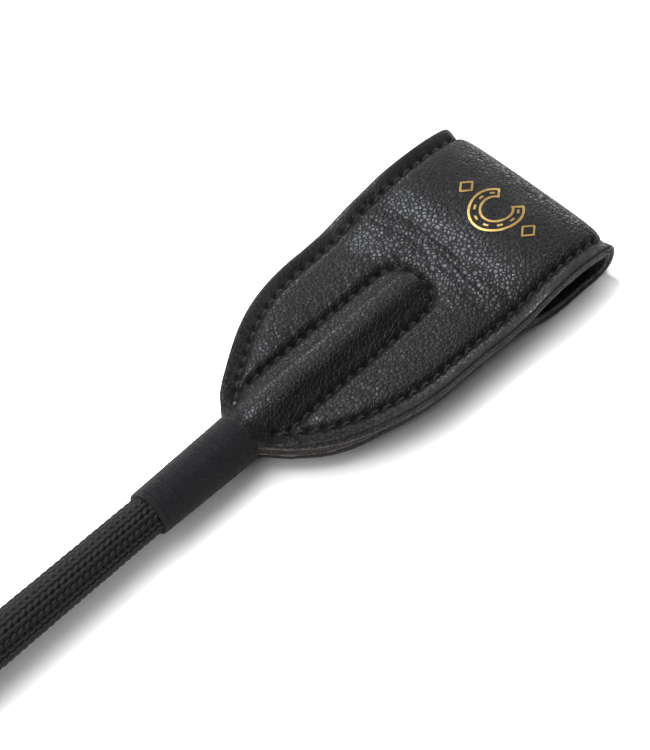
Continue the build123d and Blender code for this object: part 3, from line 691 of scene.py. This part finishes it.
def columns(count, crowd=0.0):
    """Steps from 0 to 1, closer together near both ends."""
    t = np.linspace(0, 1, count)
    return t - crowd * np.sin(2 * math.pi * t) / (2 * math.pi)


def rows_between(start, end, step):
    """Even places from start to end, about a step apart."""
    return np.linspace(start, end, max(2, int(abs(end - start) / step) + 1))


LIP, LIP_DROP = 0.35, 0.06              # leather tucked under its neighbour, so that no gap opens in a bend
LEATHER = 1.25                          # from the outer leather's plain profile to its inner face


def leather_ply(shells, start, end, lip=0.0, step=0.36):
    """One stretch of the outer leather: a finished face, rounded edges and a plain inner face."""
    s = rows_between(start - lip, end, step)[:, None]
    width, _ = leaf_width(s)
    across = columns(115, 0.25)[None, :] * 2 - 1
    y = width * across
    s_all = np.broadcast_to(s, y.shape)
    height, pit, rim, press = face_relief(s_all, y)
    outer = strip_point(s_all, y, height - LIP_DROP * (s_all < start - lip / 2))
    under = columns(31)[None, ::-1] * 2 - 1
    y_under = width * under
    s_under = np.broadcast_to(s, y_under.shape)
    q_under, _ = from_neck(s_under)
    inside = channel_distance(q_under, y_under) < 0
    raised = np.where(inside, ridge_height(q_under, y_under), 0.0)
    inner = strip_point(s_under, y_under, raised - LEATHER)
    wall = []
    for side, heights in ((1, (-0.75, -1.0)), (-1, (-1.0, -0.75))):
        for h in heights:
            bulge = 0.05 * noise(s * 1.3, side, 11)
            wall.append(strip_point(s, side * (width + bulge), np.full(s.shape, h)))
    rings = np.concatenate([outer, wall[0], wall[1], inner, wall[2], wall[3]], axis=1)
    plain = [np.zeros((len(s), n)) for n in (2, inner.shape[1], 2)]

    def spread(values, edge_value):
        """Values of the finished face, with one value for the edges and none for the inner face."""
        fill = plain[0] + edge_value, plain[1], plain[2] + edge_value
        return np.concatenate([values, *fill], axis=1)

    shells.rings(rings, pit=spread(pit, 0.55), rim=spread(rim, 0.1), press=spread(press, 0.6))


def hidden_ply(shells, start, end, depth, thickness, inset, full, step=0.7):
    """A ply under the leather: a band along each edge, or its full width where there is no channel."""
    s = rows_between(start, end, step)[:, None]
    q, _ = from_neck(s)
    width, _ = leaf_width(s)
    width = width - inset + 0.06 * noise(s / 0.9, depth, 12)
    spans = [(-1, 1)] if full else [(0.0, 1), (-1, 0.0)]
    for low, high in spans:
        inner_edge = np.minimum(CHANNEL_HALF + 0.4, width - 0.8)
        y0 = -width if low == -1 else inner_edge
        y1 = width if high == 1 else -inner_edge
        count = 25 if full else 7
        y = y0 + (y1 - y0) * columns(count)[None, :]
        top = np.full(y.shape, -depth)
        if full:
            top = top + 0.1 * noise(q / 5, y / 6, 13)
        bottom = top - thickness
        s_all = np.broadcast_to(s, y.shape)
        upper, lower = strip_point(s_all, y, top), strip_point(s_all, y, bottom)[:, ::-1]
        middle = (top[:, :1] + bottom[:, :1]) / 2
        end_wall, start_wall = (strip_point(s, edge + 0.04 * np.sign(edge), middle) for edge in (y1, y0))
        shells.rings(np.concatenate([upper, end_wall, lower, start_wall], axis=1))


# The strip is cut in two: a loop part from the squeeze line on the upper leaf round the fold to a line on the
# lower leaf, and a base part with the rest.
LOWER_CUT_LINE = 74.0                   # on the lower leaf, from the neck
upper_cut = strip_at(squeeze_line)
lower_cut = strip_at(LOWER_CUT_LINE, upper=False)
split = {"base": [(0.0, upper_cut), (lower_cut, STRIP)], "loop": [(upper_cut, lower_cut)]}


def bend_with(piece, part):
    """Bakes a piece of the keeper's placement into its mesh, the same for either part."""
    if part == "base":
        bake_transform(piece)
    else:
        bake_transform(piece)


stretch_names = {"base": ("base", "lower"), "loop": ("upper",)}


def keeper_nodes(thing, part):
    """The CAD nodes that one part of the strip stands for, such as its leather."""
    return [f"keeper_{thing}_{stretch}" for stretch in stretch_names[part]]


open_from, open_to = strip_at(FLEX_LINE + 0.5), strip_at(FLEX_LINE + 0.5, upper=False)
along_channel = ((0.0, open_from, False), (open_from, open_to, True), (open_to, STRIP, False))
for part, stretches in split.items():
    shells = Shells()
    for start, end in stretches:
        leather_ply(shells, start, end, LIP if part == "loop" else 0.0)
    piece = shells.build(f"keeper_leather_{part}_skin", KEEPER_LEATHER, crease=60)
    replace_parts(piece, *keeper_nodes("leather", part))
    bend_with(piece, part)
    for ply, depth, thickness, inset, material, slot in (
        ("interlining", 1.26, 0.45, 0.12, CORE_EDGE, "interlining"),
        ("lining", 1.73, 0.58, 0.2, LINING, "keeper_lining"),
    ):
        shells = Shells()
        for start, end in stretches:
            for low, high, full in along_channel:
                a, b = max(start, low), min(end, high)
                if b - a > 0.1:
                    hidden_ply(shells, a, b, depth, thickness, inset, full)
        piece = shells.build(f"keeper_{ply}_{part}_ply", material, crease=40)
        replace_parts(piece, *keeper_nodes(ply, part))
        bend_with(piece, part)


# ---- stitches
def stitch(shells, start, end, normal, radius=0.27, sink=0.8, rise=0.16):
    """One stitch: a thread that comes up out of a hole, lies along the seam and goes down again."""
    t = np.linspace(0, 1, 9)
    level = rise - (sink + rise) * np.abs(2 * t - 1) ** 2.6
    line = start + (end - start) * (0.17 + 0.62 * t)[:, None] + normal * level[:, None]
    strands = radius * (1 - 0.18 * np.abs(2 * t - 1) ** 4)
    shells.rings(tube(line, np.tile(normal, (9, 1)), strands, flat=0.82))


def seam_on_strip(shells, holes, keep):
    """Stitches from hole to hole along a seam of the keeper, where keep says so."""
    s, y = holes[:, 0], holes[:, 1]
    middle_s, middle_y = (s[1:] + s[:-1]) / 2, (y[1:] + y[:-1]) / 2
    base = face_relief(middle_s, middle_y)[0]
    ends = strip_point(s, y, np.concatenate([base[:1], (base[1:] + base[:-1]) / 2, base[-1:]]))
    middle = strip_point(middle_s, middle_y, base)
    _, normals = strip_place(middle_s)
    for i in np.flatnonzero(keep(middle_s)):
        normal = np.array([normals[i, 0], 0, normals[i, 1]])
        raised = normal * (middle[i] - (ends[i] + ends[i + 1]) / 2).dot(normal)
        stitch(shells, ends[i] + raised, ends[i + 1] + raised, normal)


def in_part(part):
    """A test for the lengths along the strip that belong to a part of it."""
    return lambda s: np.any([(s >= a) & (s < b) for a, b in split[part]], axis=0)


for part in split:
    shells = Shells()
    for holes in edge_holes:
        seam_on_strip(shells, holes, in_part(part))
    piece = shells.build(f"edge_seam_{part}_thread", SEAM_THREAD, crease=80)
    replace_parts(piece, *keeper_nodes("seam", part))
    bend_with(piece, part)

shells = Shells()
for holes in channel_holes:
    seam_on_strip(shells, holes, in_part("base"))
channel_thread = shells.build("channel_seam_thread", SEAM_THREAD, crease=80)
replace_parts(channel_thread, "channel_seam")
bend_with(channel_thread, "base")


# ---- gold stamp on the upper leaf
def foil_strip(shells, line, width):
    """A line of gold foil, given as (q, y) points, lying on the upper leaf."""
    line = np.asarray(line, float)
    direction = unit(np.gradient(line, axis=0))
    across = np.stack([-direction[:, 1], direction[:, 0]], axis=1) * width / 2
    left, right = line + across, line - across
    rows = []
    for edge, height in ((left, 0.06), (right, 0.06), (right, -0.15), (left, -0.15)):
        s, y = edge[:, 0] - KEEPER_START, edge[:, 1]
        rows.append(strip_point(s, y, face_relief(s, y)[0] + height))
    shells.rings(np.stack(rows, axis=1))


def gold_horseshoe():
    """A plain horseshoe between two lozenges: an ordinary riding motif, with no lettering."""
    shells = Shells()
    centre_q, centre_y, size = strip_at(70.2) + KEEPER_START, -0.9, 1.2
    opening = math.radians(38)

    def shoe(radius, start, end, steps):
        """An arc of the horseshoe, a little longer than round."""
        turn = np.linspace(start, end, steps)
        stretch = 1.12 + 0.1 * np.cos(turn)
        q = centre_q - size * radius * stretch * np.cos(turn)
        return np.stack([q, centre_y + size * radius * np.sin(turn)], axis=1)

    low, high = opening - math.pi, math.pi - opening
    for radius in (3.9, 2.35):
        foil_strip(shells, shoe(radius, low, high, 60), 0.45)
    for end in (low, high):
        heel = [shoe(radius, end, end, 1)[0] for radius in np.linspace(2.15, 4.1, 6)]
        foil_strip(shells, np.stack(heel), 0.42)
    for k in range(8):
        middle = low + (high - low) * (k + 0.5) / 8
        foil_strip(shells, shoe(3.12, middle - 0.12, middle + 0.12, 5), 0.4)
    corners = np.array([(1.7, 0), (0, 1.3), (-1.7, 0), (0, -1.3), (1.7, 0)])
    t = np.linspace(-0.04, 1.04, 7)[:, None]
    for side in (1, -1):
        middle = np.array([centre_q, centre_y + side * 7.4])
        for corner, following in zip(corners, corners[1:]):
            foil_strip(shells, corner * (1 - t) + following * t + middle, 0.36)
    return shells.build("gold_stamp", GOLD, crease=40)


stamp = gold_horseshoe()
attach(stamp, "upper_leaf")


# ---- wound thread
def coil(name, node, stretch, radius_at, thickness, steps=60, sides=8):
    """Thread wound close along the shaft, over a plain sleeve that fills under it, painted dark as shade."""
    start, end = stretch
    turns = int((end - start) / thickness)
    count = turns * steps + 1
    turn = np.linspace(0, turns, count)
    distance = start + thickness / 2 + turn * (end - start - thickness) / turns
    distance = distance + 0.07 * noise(turn * 0.9, 0.5, 21) + 0.04 * noise(turn * 6, 1.5, 22)
    angle = turn * 2 * math.pi
    radius = radius_at(distance) - thickness / 2 + 0.05 * noise(turn * 1.7, 2.5, 23)
    line = on_shaft(distance, radius, angle)
    outward = on_shaft(distance, radius + 1, angle) - line
    shells = Shells()
    facing = np.sin(np.arange(sides) * 2 * math.pi / sides)
    # gap paints shade on each turn's sides and underside
    shells.rings(tube(line, outward, thickness * 0.51, sides), gap=1 - np.maximum(facing, 0)[None, :])
    # The sleeve under the turns is painted fully as shade.
    around = np.arange(64) * 2 * math.pi / 64
    at = np.linspace(start + 0.1, end - 0.1, 24)[:, None]
    shells.rings(on_shaft(at, radius_at(at) - thickness * 0.72, around[None, :]), gap=1.0)
    piece = shells.build(name, WHIPPING_THREAD, crease=80)
    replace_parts(piece, node)
    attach(piece, "shaft")


neck = (x_neck - butt[0]) / along[0]
KEEPER_WHIP, KEEPER_WHIP_RADII = (neck - 17.0, neck + 5.0), (4.3, 4.72)
GRIP_START, GRIP_END = 11.0, 164.0
GRIP_RADII = (9.2, 10.3, 8.4)
FRONT_WHIP, REAR_WHIP = (157.0, 184.0), (11.0, 20.0)
BRAID_RADIUS_GRIP, BRAID_RADIUS_TIP = 5.75, 3.42
THREAD = 0.5


def grip_radius(distance):
    """The grip's barrel line: an arc through its butt, middle and front."""
    return np.interp(distance, *grip_line)


def three_point_arc(points, steps=80):
    """A circle's arc through three points, as x and y lists."""
    (ax, ay), (bx, by), (cx, cy) = points
    d = 2 * (ax * (by - cy) + bx * (cy - ay) + cx * (ay - by))
    a2, b2, c2 = ax**2 + ay**2, bx**2 + by**2, cx**2 + cy**2
    ux = (a2 * (by - cy) + b2 * (cy - ay) + c2 * (ay - by)) / d
    uy = (a2 * (cx - bx) + b2 * (ax - cx) + c2 * (bx - ax)) / d
    radius = math.hypot(ax - ux, ay - uy)
    x = np.linspace(ax, cx, steps)
    return x, uy + np.sqrt(radius**2 - (x - ux) ** 2)


grip_line = three_point_arc(
    [(GRIP_START, GRIP_RADII[0]), ((GRIP_START + GRIP_END) / 2, GRIP_RADII[1]), (GRIP_END, GRIP_RADII[2])]
)


def keeper_whip_radius(distance):
    """Outer radius of the keeper's whipping."""
    return np.interp(distance, KEEPER_WHIP, KEEPER_WHIP_RADII)


def front_whip_radius(distance):
    """Outer radius of the front whipping, which runs from the grip down on to the braid."""
    places = FRONT_WHIP[0], GRIP_END, FRONT_WHIP[1]
    under = grip_radius(FRONT_WHIP[0]), GRIP_RADII[2], BRAID_RADIUS_GRIP
    return np.interp(distance, places, under) + THREAD


def rear_whip_radius(distance):
    """Outer radius of the rear whipping."""
    return grip_radius(distance) + THREAD


coil("keeper_whipping_thread", "keeper_whipping", KEEPER_WHIP, keeper_whip_radius, 0.4, steps=44)
coil("front_whipping_thread", "front_whipping", FRONT_WHIP, front_whip_radius, 0.6)
coil("rear_whipping_thread", "rear_whipping", REAR_WHIP, rear_whip_radius, 0.6)

# ---- braid
BRAID_START, BRAID_END = 181.0, neck - 13.0
BRAID_ROWS = 22                         # rows of beads round the shaft
BEAD_PITCH = 1.3                        # along a row, at the tip


def braid_radius(distance):
    """Outer radius of the tapering braid at a distance from the butt."""
    taper_start, taper_end = 175.0, neck + 40.0
    return np.interp(distance, [taper_start, taper_end], [BRAID_RADIUS_GRIP, BRAID_RADIUS_TIP])


def braid_relief(around, lengthwise):
    """Height of the weave: rows of plump beads that lean one way and the other in turn."""
    row = np.floor(around)
    across = 2 * (around - row) - 1
    lean = 1 - 2 * np.mod(row, 2)
    place = 2 * np.mod(lengthwise + 0.3 * lean * across + 0.5 * np.mod(row // 2, 2), 1) - 1
    return np.sqrt(np.clip(1 - 0.8 * across**2 - 0.85 * np.abs(place) ** 2.4, 0.01, 1))


def braid(name, start, end, columns_around, row_step):
    """A stretch of the shaft's woven cover."""
    distance = rows_between(start, end, row_step)
    radius = braid_radius(distance)
    fine = np.linspace(BRAID_START, BRAID_END, 2000)
    rate = BRAID_RADIUS_TIP / BEAD_PITCH / braid_radius(fine)
    laid = np.concatenate([[0], np.cumsum((rate[1:] + rate[:-1]) / 2 * np.diff(fine))])
    lengthwise = np.interp(distance, fine, laid)[:, None]
    angle = np.arange(columns_around) * 2 * math.pi / columns_around
    around = (angle / (2 * math.pi) * BRAID_ROWS)[None, :]
    top = braid_relief(around, lengthwise)
    uneven = 0.03 * noise(distance[:, None] / 1.7, around, 31)
    level = radius[:, None] - 0.42 * (1 - top) + uneven
    shells = Shells()
    # gap is painted shade in the valleys between the beads
    shells.rings(on_shaft(distance[:, None], level, angle[None, :]), gap=1 - top)
    piece = shells.build(name, BRAID, crease=180)
    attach(piece, "shaft")
    return piece


middle_of_braid = BRAID_END - 115.0
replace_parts(braid("shaft_braid_front", middle_of_braid, BRAID_END, 8 * BRAID_ROWS, 0.205), "shaft_braid")
braid("shaft_braid_rear", BRAID_START, middle_of_braid, 6 * BRAID_ROWS, 0.35)


# ---- grip
GRIP_SEAM_ANGLE = -35                   # degrees round from the side, below level
GRIP_SEAM_START, GRIP_STITCHES = 24.0, 41


def grip():
    """Padded leather grip with one sewn seam along it."""
    seam_angle = math.radians(GRIP_SEAM_ANGLE)
    distance = rows_between(GRIP_START, GRIP_END + 0.5, 0.9)[:, None]
    angle = np.arange(150)[None, :] * 2 * math.pi / 150
    off_seam = np.angle(np.exp(1j * (angle - seam_angle))) * 9.5
    beside = np.abs(off_seam) - 1.0
    lips = 0.32 * bell(beside, 0.75) - 0.4 * bell(off_seam, 0.35)
    phase = (distance - GRIP_SEAM_START) / STITCH_PITCH
    pinch = 0.1 * np.cos(2 * math.pi * phase) * bell(beside, 1.0)
    wave = 0.1 * noise(distance / 9, off_seam / 6, 41) + 0.05 * noise(distance / 2.2, off_seam / 7, 42)
    radius = grip_radius(distance) + lips + pinch + wave - 0.12
    ring = on_shaft(np.broadcast_to(distance, radius.shape), radius, np.broadcast_to(angle, radius.shape))
    # pit paints shade along the seam's groove
    pit = bell(off_seam, 0.5) * np.ones_like(distance)
    shells = Shells()
    shells.rings(ring, pit=pit, rim=np.zeros(radius.shape), press=np.zeros(radius.shape))
    piece = shells.build("grip_leather_cover", GRIP_LEATHER, crease=60)
    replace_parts(piece, "grip_leather", "grip_foam")
    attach(piece, "shaft")
    shells = Shells()
    for k in range(GRIP_STITCHES):
        at = GRIP_SEAM_START + (k + 0.5) * STITCH_PITCH
        for slant in (1, -1):
            ends = []
            for t in (-1, 1):
                spot, turn = at + t * 1.2, seam_angle + t * slant * 1.35 / 10.0
                ends.append(on_shaft(spot, grip_radius(spot) + 0.28, turn))
            normal = on_shaft(at, 1.0, seam_angle) - on_shaft(at, 0.0, seam_angle)
            stitch(shells, ends[0], ends[1], normal, radius=0.26, rise=0.12 + 0.1 * slant)
    thread_piece = shells.build("grip_seam_thread", SEAM_THREAD, crease=80)
    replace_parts(thread_piece, "grip_seam")
    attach(thread_piece, "shaft")


grip()

# ---- CAD shapes with real finishes
FIBREGLASS = moulded("fibreglass", (0.6, 0.58, 0.45), 0.3)
TIP_PLASTIC = moulded("tip_plastic", (0.013, 0.013, 0.015), 0.5)
finishes = {
    "butt_cap": CAP_PLASTIC,
    "strap_rivet": GOLD,
    "rivet_washer": GOLD,
    "core_rod": FIBREGLASS,
    "rod_tip_cap": TIP_PLASTIC,
}
for node, material in finishes.items():
    mesh = frame["nodes"][node].data
    mesh.materials.clear()
    mesh.materials.append(material)

# ---- wrist strap
STRAP_WIDTH, STRAP, STRAP_LINING = 12.0, 2.2, 1.0
LOOP_RADIUS, ROOT_RADIUS, ROOT_LENGTH = 27.0, 25.0, 14.0
loop_reach = butt[0] - mm(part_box("wrist_strap")[0])[0]
end_centre = loop_reach - LOOP_RADIUS - STRAP / 2
swing_axis = unit(np.array(joints["loop_swing"]["axis"], float))
loop_back = np.array([-swing_axis[2], 0, swing_axis[0]])
SWING_LINE = butt[0] - swing_point[0]
SLOT_DEPTH = 8.8
SEAM_ON_STRAP = 1.6                     # from the strap's edge to its seam


def strap_path():
    """The strap's middle line in plan, x running back from the cap, with its outward normals."""
    run, offset = end_centre - ROOT_LENGTH, ROOT_RADIUS + STRAP / 2
    spread = math.atan2(run, offset) - math.acos((LOOP_RADIUS + ROOT_RADIUS) / math.hypot(run, offset))
    half = STRAP / 2 + 0.03
    path = Turtle((-SLOT_DEPTH, half), 0.0)
    path.go(SLOT_DEPTH + ROOT_LENGTH)
    path.arc(ROOT_RADIUS, spread)
    touch = np.array([end_centre - LOOP_RADIUS * math.sin(spread), LOOP_RADIUS * math.cos(spread)])
    path.go(float(np.linalg.norm(touch - path.points[-1])))
    path.arc(LOOP_RADIUS, -spread - math.pi / 2)
    points = np.array(path.points)[::4]
    points[-1, 1] = 0.0
    whole = np.concatenate([points, points[-2::-1] * [1, -1]])
    direction = unit(np.gradient(whole, axis=0))
    return whole, np.stack([-direction[:, 1], direction[:, 0]], axis=1)


strap_line, strap_out = strap_path()
strap_length = length_along(strap_line)


def strap_point(index, out, height):
    """A point of the strap: an index along its line, a distance outwards, and a height up its width."""
    plan = strap_line[index] + strap_out[index] * np.asarray(out)[..., None]
    back = plan[..., 0] - SWING_LINE
    run = np.where(back[..., None] > 0, loop_back, -along)
    rise = np.asarray(height)[..., None] * swing_axis
    return swing_point + back[..., None] * run + plan[..., 1:] * sideways + rise


def strap_ply(name, nodes, material, faces, width, relief):
    """One ply of the strap with softly rounded edges; relief is 1 for a sewn face and 0 for a plain one."""
    outer, inner = faces
    half = width / 2
    flat = np.linspace(-half + 0.9, half - 0.9, 17)
    up = np.concatenate([[-half, -half + 0.25], flat, [half - 0.25, half]])
    drop = np.array([0.34, 0.07] + [0.0] * len(flat) + [0.07, 0.34])
    index = np.arange(len(strap_line))[:, None]
    along_strap = strap_length[:, None]
    groove = relief * 0.22 * bell(half - np.abs(up) - SEAM_ON_STRAP, 0.45)[None, :]
    wave = 0.05 * noise(along_strap / 6, up[None, :] / 5, 51 + relief)
    crown = 0.12 * (1 - (up / half) ** 2)[None, :] * relief
    face = outer - drop[None, :] - groove + wave * 0.6 + crown - 0.12 * relief
    back = inner + drop[None, ::-1] * 0.5 + 0 * along_strap
    ring = np.concatenate(
        [
            strap_point(index, face, np.broadcast_to(up[None, :], face.shape)),
            strap_point(index, back, np.broadcast_to(up[None, ::-1], back.shape)),
        ],
        axis=1,
    )
    # pit paints shade in the stitch grooves; rim lightens the edges as wear with a painted highlight
    pit = np.concatenate([np.broadcast_to(groove / 0.22 * 0.5, face.shape), np.zeros(back.shape)], axis=1)
    rim = np.broadcast_to((np.abs(up) > half - 0.5)[None, :] * 0.8, face.shape)
    rim = np.concatenate([rim, rim], axis=1)
    shells = Shells()
    shells.rings(ring[:, ::-1], pit=pit[:, ::-1], rim=rim[:, ::-1], press=np.full(ring.shape[:2], 0.3))
    piece = shells.build(name, material, crease=60)
    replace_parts(piece, *nodes)
    bend_strap(piece)


def bend_strap(piece):
    """Bakes a piece of the strap's placement into its mesh."""
    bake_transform(piece)


between = STRAP_LINING - STRAP / 2
outer_faces, lining_faces = (STRAP / 2, between), (between - 0.02, -STRAP / 2)
strap_nodes, lining_nodes = ("wrist_strap", "strap_ends"), ("wrist_strap_lining",)
lining_width = STRAP_WIDTH - 0.3
strap_ply("wrist_strap_leather", strap_nodes, STRAP_LEATHER, outer_faces, STRAP_WIDTH, 1)
strap_ply("wrist_strap_lining_ply", lining_nodes, LINING, lining_faces, lining_width, 0)


def strap_seam():
    """Two rows of stitches, showing on both faces."""
    shells = Shells()
    usable = (strap_length > SLOT_DEPTH + 6) & (strap_length < strap_length[-1] - SLOT_DEPTH - 6)
    first, last = strap_length[usable][0], strap_length[usable][-1]
    count = int((last - first) / STITCH_PITCH)
    at = np.linspace(first, last, count + 1)
    place, out = (at_length(at, strap_length, points) for points in (strap_line, strap_out))
    root_seam = 3.2                     # nearer the middle than this, the two runs lie together

    def solid(plan, height):
        """A point of the strap from its place in plan and its height."""
        back = plan[0] - SWING_LINE
        return swing_point + back * loop_back + plan[1] * sideways + height * swing_axis

    for face, level in ((1, STRAP / 2 - 0.2), (-1, -STRAP / 2 - 0.02)):
        for height in (STRAP_WIDTH / 2 - SEAM_ON_STRAP, SEAM_ON_STRAP - STRAP_WIDTH / 2):
            for k in range(count):
                if face < 0 and abs(place[k][1]) < root_seam and place[k][0] < end_centre:
                    continue
                start, end = (solid(place[i] + out[i] * level, height) for i in (k, k + 1))
                middle = (out[k] + out[k + 1]) / 2
                normal = unit(solid(middle, 0) - solid(np.zeros(2), 0)) * face
                stitch(shells, start, end, normal, radius=0.24, rise=0.1, sink=0.4)
    piece = shells.build("wrist_strap_seam_thread", SEAM_THREAD, crease=80)
    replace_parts(piece, "wrist_strap_seam")
    bend_strap(piece)


strap_seam()


# ---- floor, light and camera
def floor():
    """A plain pale table top."""
    n = Nodes("floor")
    place = n.millimetres()
    tone = n.mix(n.noise(place, 0.01, 2.0), (0.9, 0.9, 0.9), (0.93, 0.93, 0.93))
    n.link(tone, "Base Color")
    n.set("Roughness", 0.9)
    n.set("Specular IOR Level", 0.2)
    size = 6000.0
    corners = [(-size, -size, 0), (size, -size, 0), (size, size, 0), (-size, size, 0)]
    sheet = build("floor", corners, [(0, 1, 2, 3)], n.material)


floor()
world = bpy.data.worlds.new("studio")
world.use_nodes = True
world.node_tree.nodes["Background"].inputs["Color"].default_value = (1.0, 1.0, 1.0, 1)
world.node_tree.nodes["Background"].inputs["Strength"].default_value = 0.1
bpy.context.scene.world = world
bpy.context.scene.view_settings.view_transform = "Standard"

keeper_middle = np.array([x_neck + 24.6, -1.45, 6.5])
LAMP_DISTANCE = 1500.0


def softbox(name, direction, width, depth, power, colour=(1.0, 1.0, 1.0)):
    """A rectangular lamp that faces the keeper from a direction."""
    direction = unit(np.array(direction, float))
    data = bpy.data.lights.new(name, "AREA")
    data.shape = "RECTANGLE"
    data.color = colour
    data.size, data.size_y, data.energy = width * MM, depth * MM, power
    lamp = bpy.data.objects.new(name, data)
    lamp.location = Vector((keeper_middle + direction * LAMP_DISTANCE) * MM)
    lamp.rotation_mode = "QUATERNION"
    lamp.rotation_quaternion = Vector(direction).to_track_quat("Z", "Y")
    bpy.context.scene.collection.objects.link(lamp)


softbox("top_light", (-0.25, 0.3, 0.92), 1100.0, 1100.0, 27.5)
softbox("left_light", (-0.75, 0.1, 0.65), 1300.0, 1300.0, 18.7)
softbox("side_light", (0.43, 0.83, 0.34), 550.0, 240.0, 7.0)
softbox("fold_light", (0.12, 0.42, 0.9), 220.0, 220.0, 18.7, (0.9, 0.94, 1.0))
softbox("end_light", (0.9, 0.41, 0.2), 350.0, 250.0, 5.2)

# The camera looks down over the shaft at the keeper.
HEADING, ELEVATION = math.radians(43.386), math.radians(53.44)
CAMERA_DISTANCE, FOCAL_PIXELS, LONG_SIDE = 450.0, 2589.0, 750.0
looking = np.array(
    [math.cos(HEADING) * math.cos(ELEVATION), math.sin(HEADING) * math.cos(ELEVATION), -math.sin(ELEVATION)]
)
camera_data = bpy.data.cameras.new("camera")
camera_data.sensor_width = 36.0
camera_data.lens = camera_data.sensor_width * FOCAL_PIXELS / LONG_SIDE
camera_data.clip_start, camera_data.clip_end = 0.01, 20.0
camera = bpy.data.objects.new("camera", camera_data)
camera.location = Vector((keeper_middle - looking * CAMERA_DISTANCE) * MM)
camera.rotation_mode = "QUATERNION"
camera.rotation_quaternion = Vector(looking).to_track_quat("-Z", "Y")
bpy.context.scene.collection.objects.link(camera)
bpy.context.scene.camera = camera
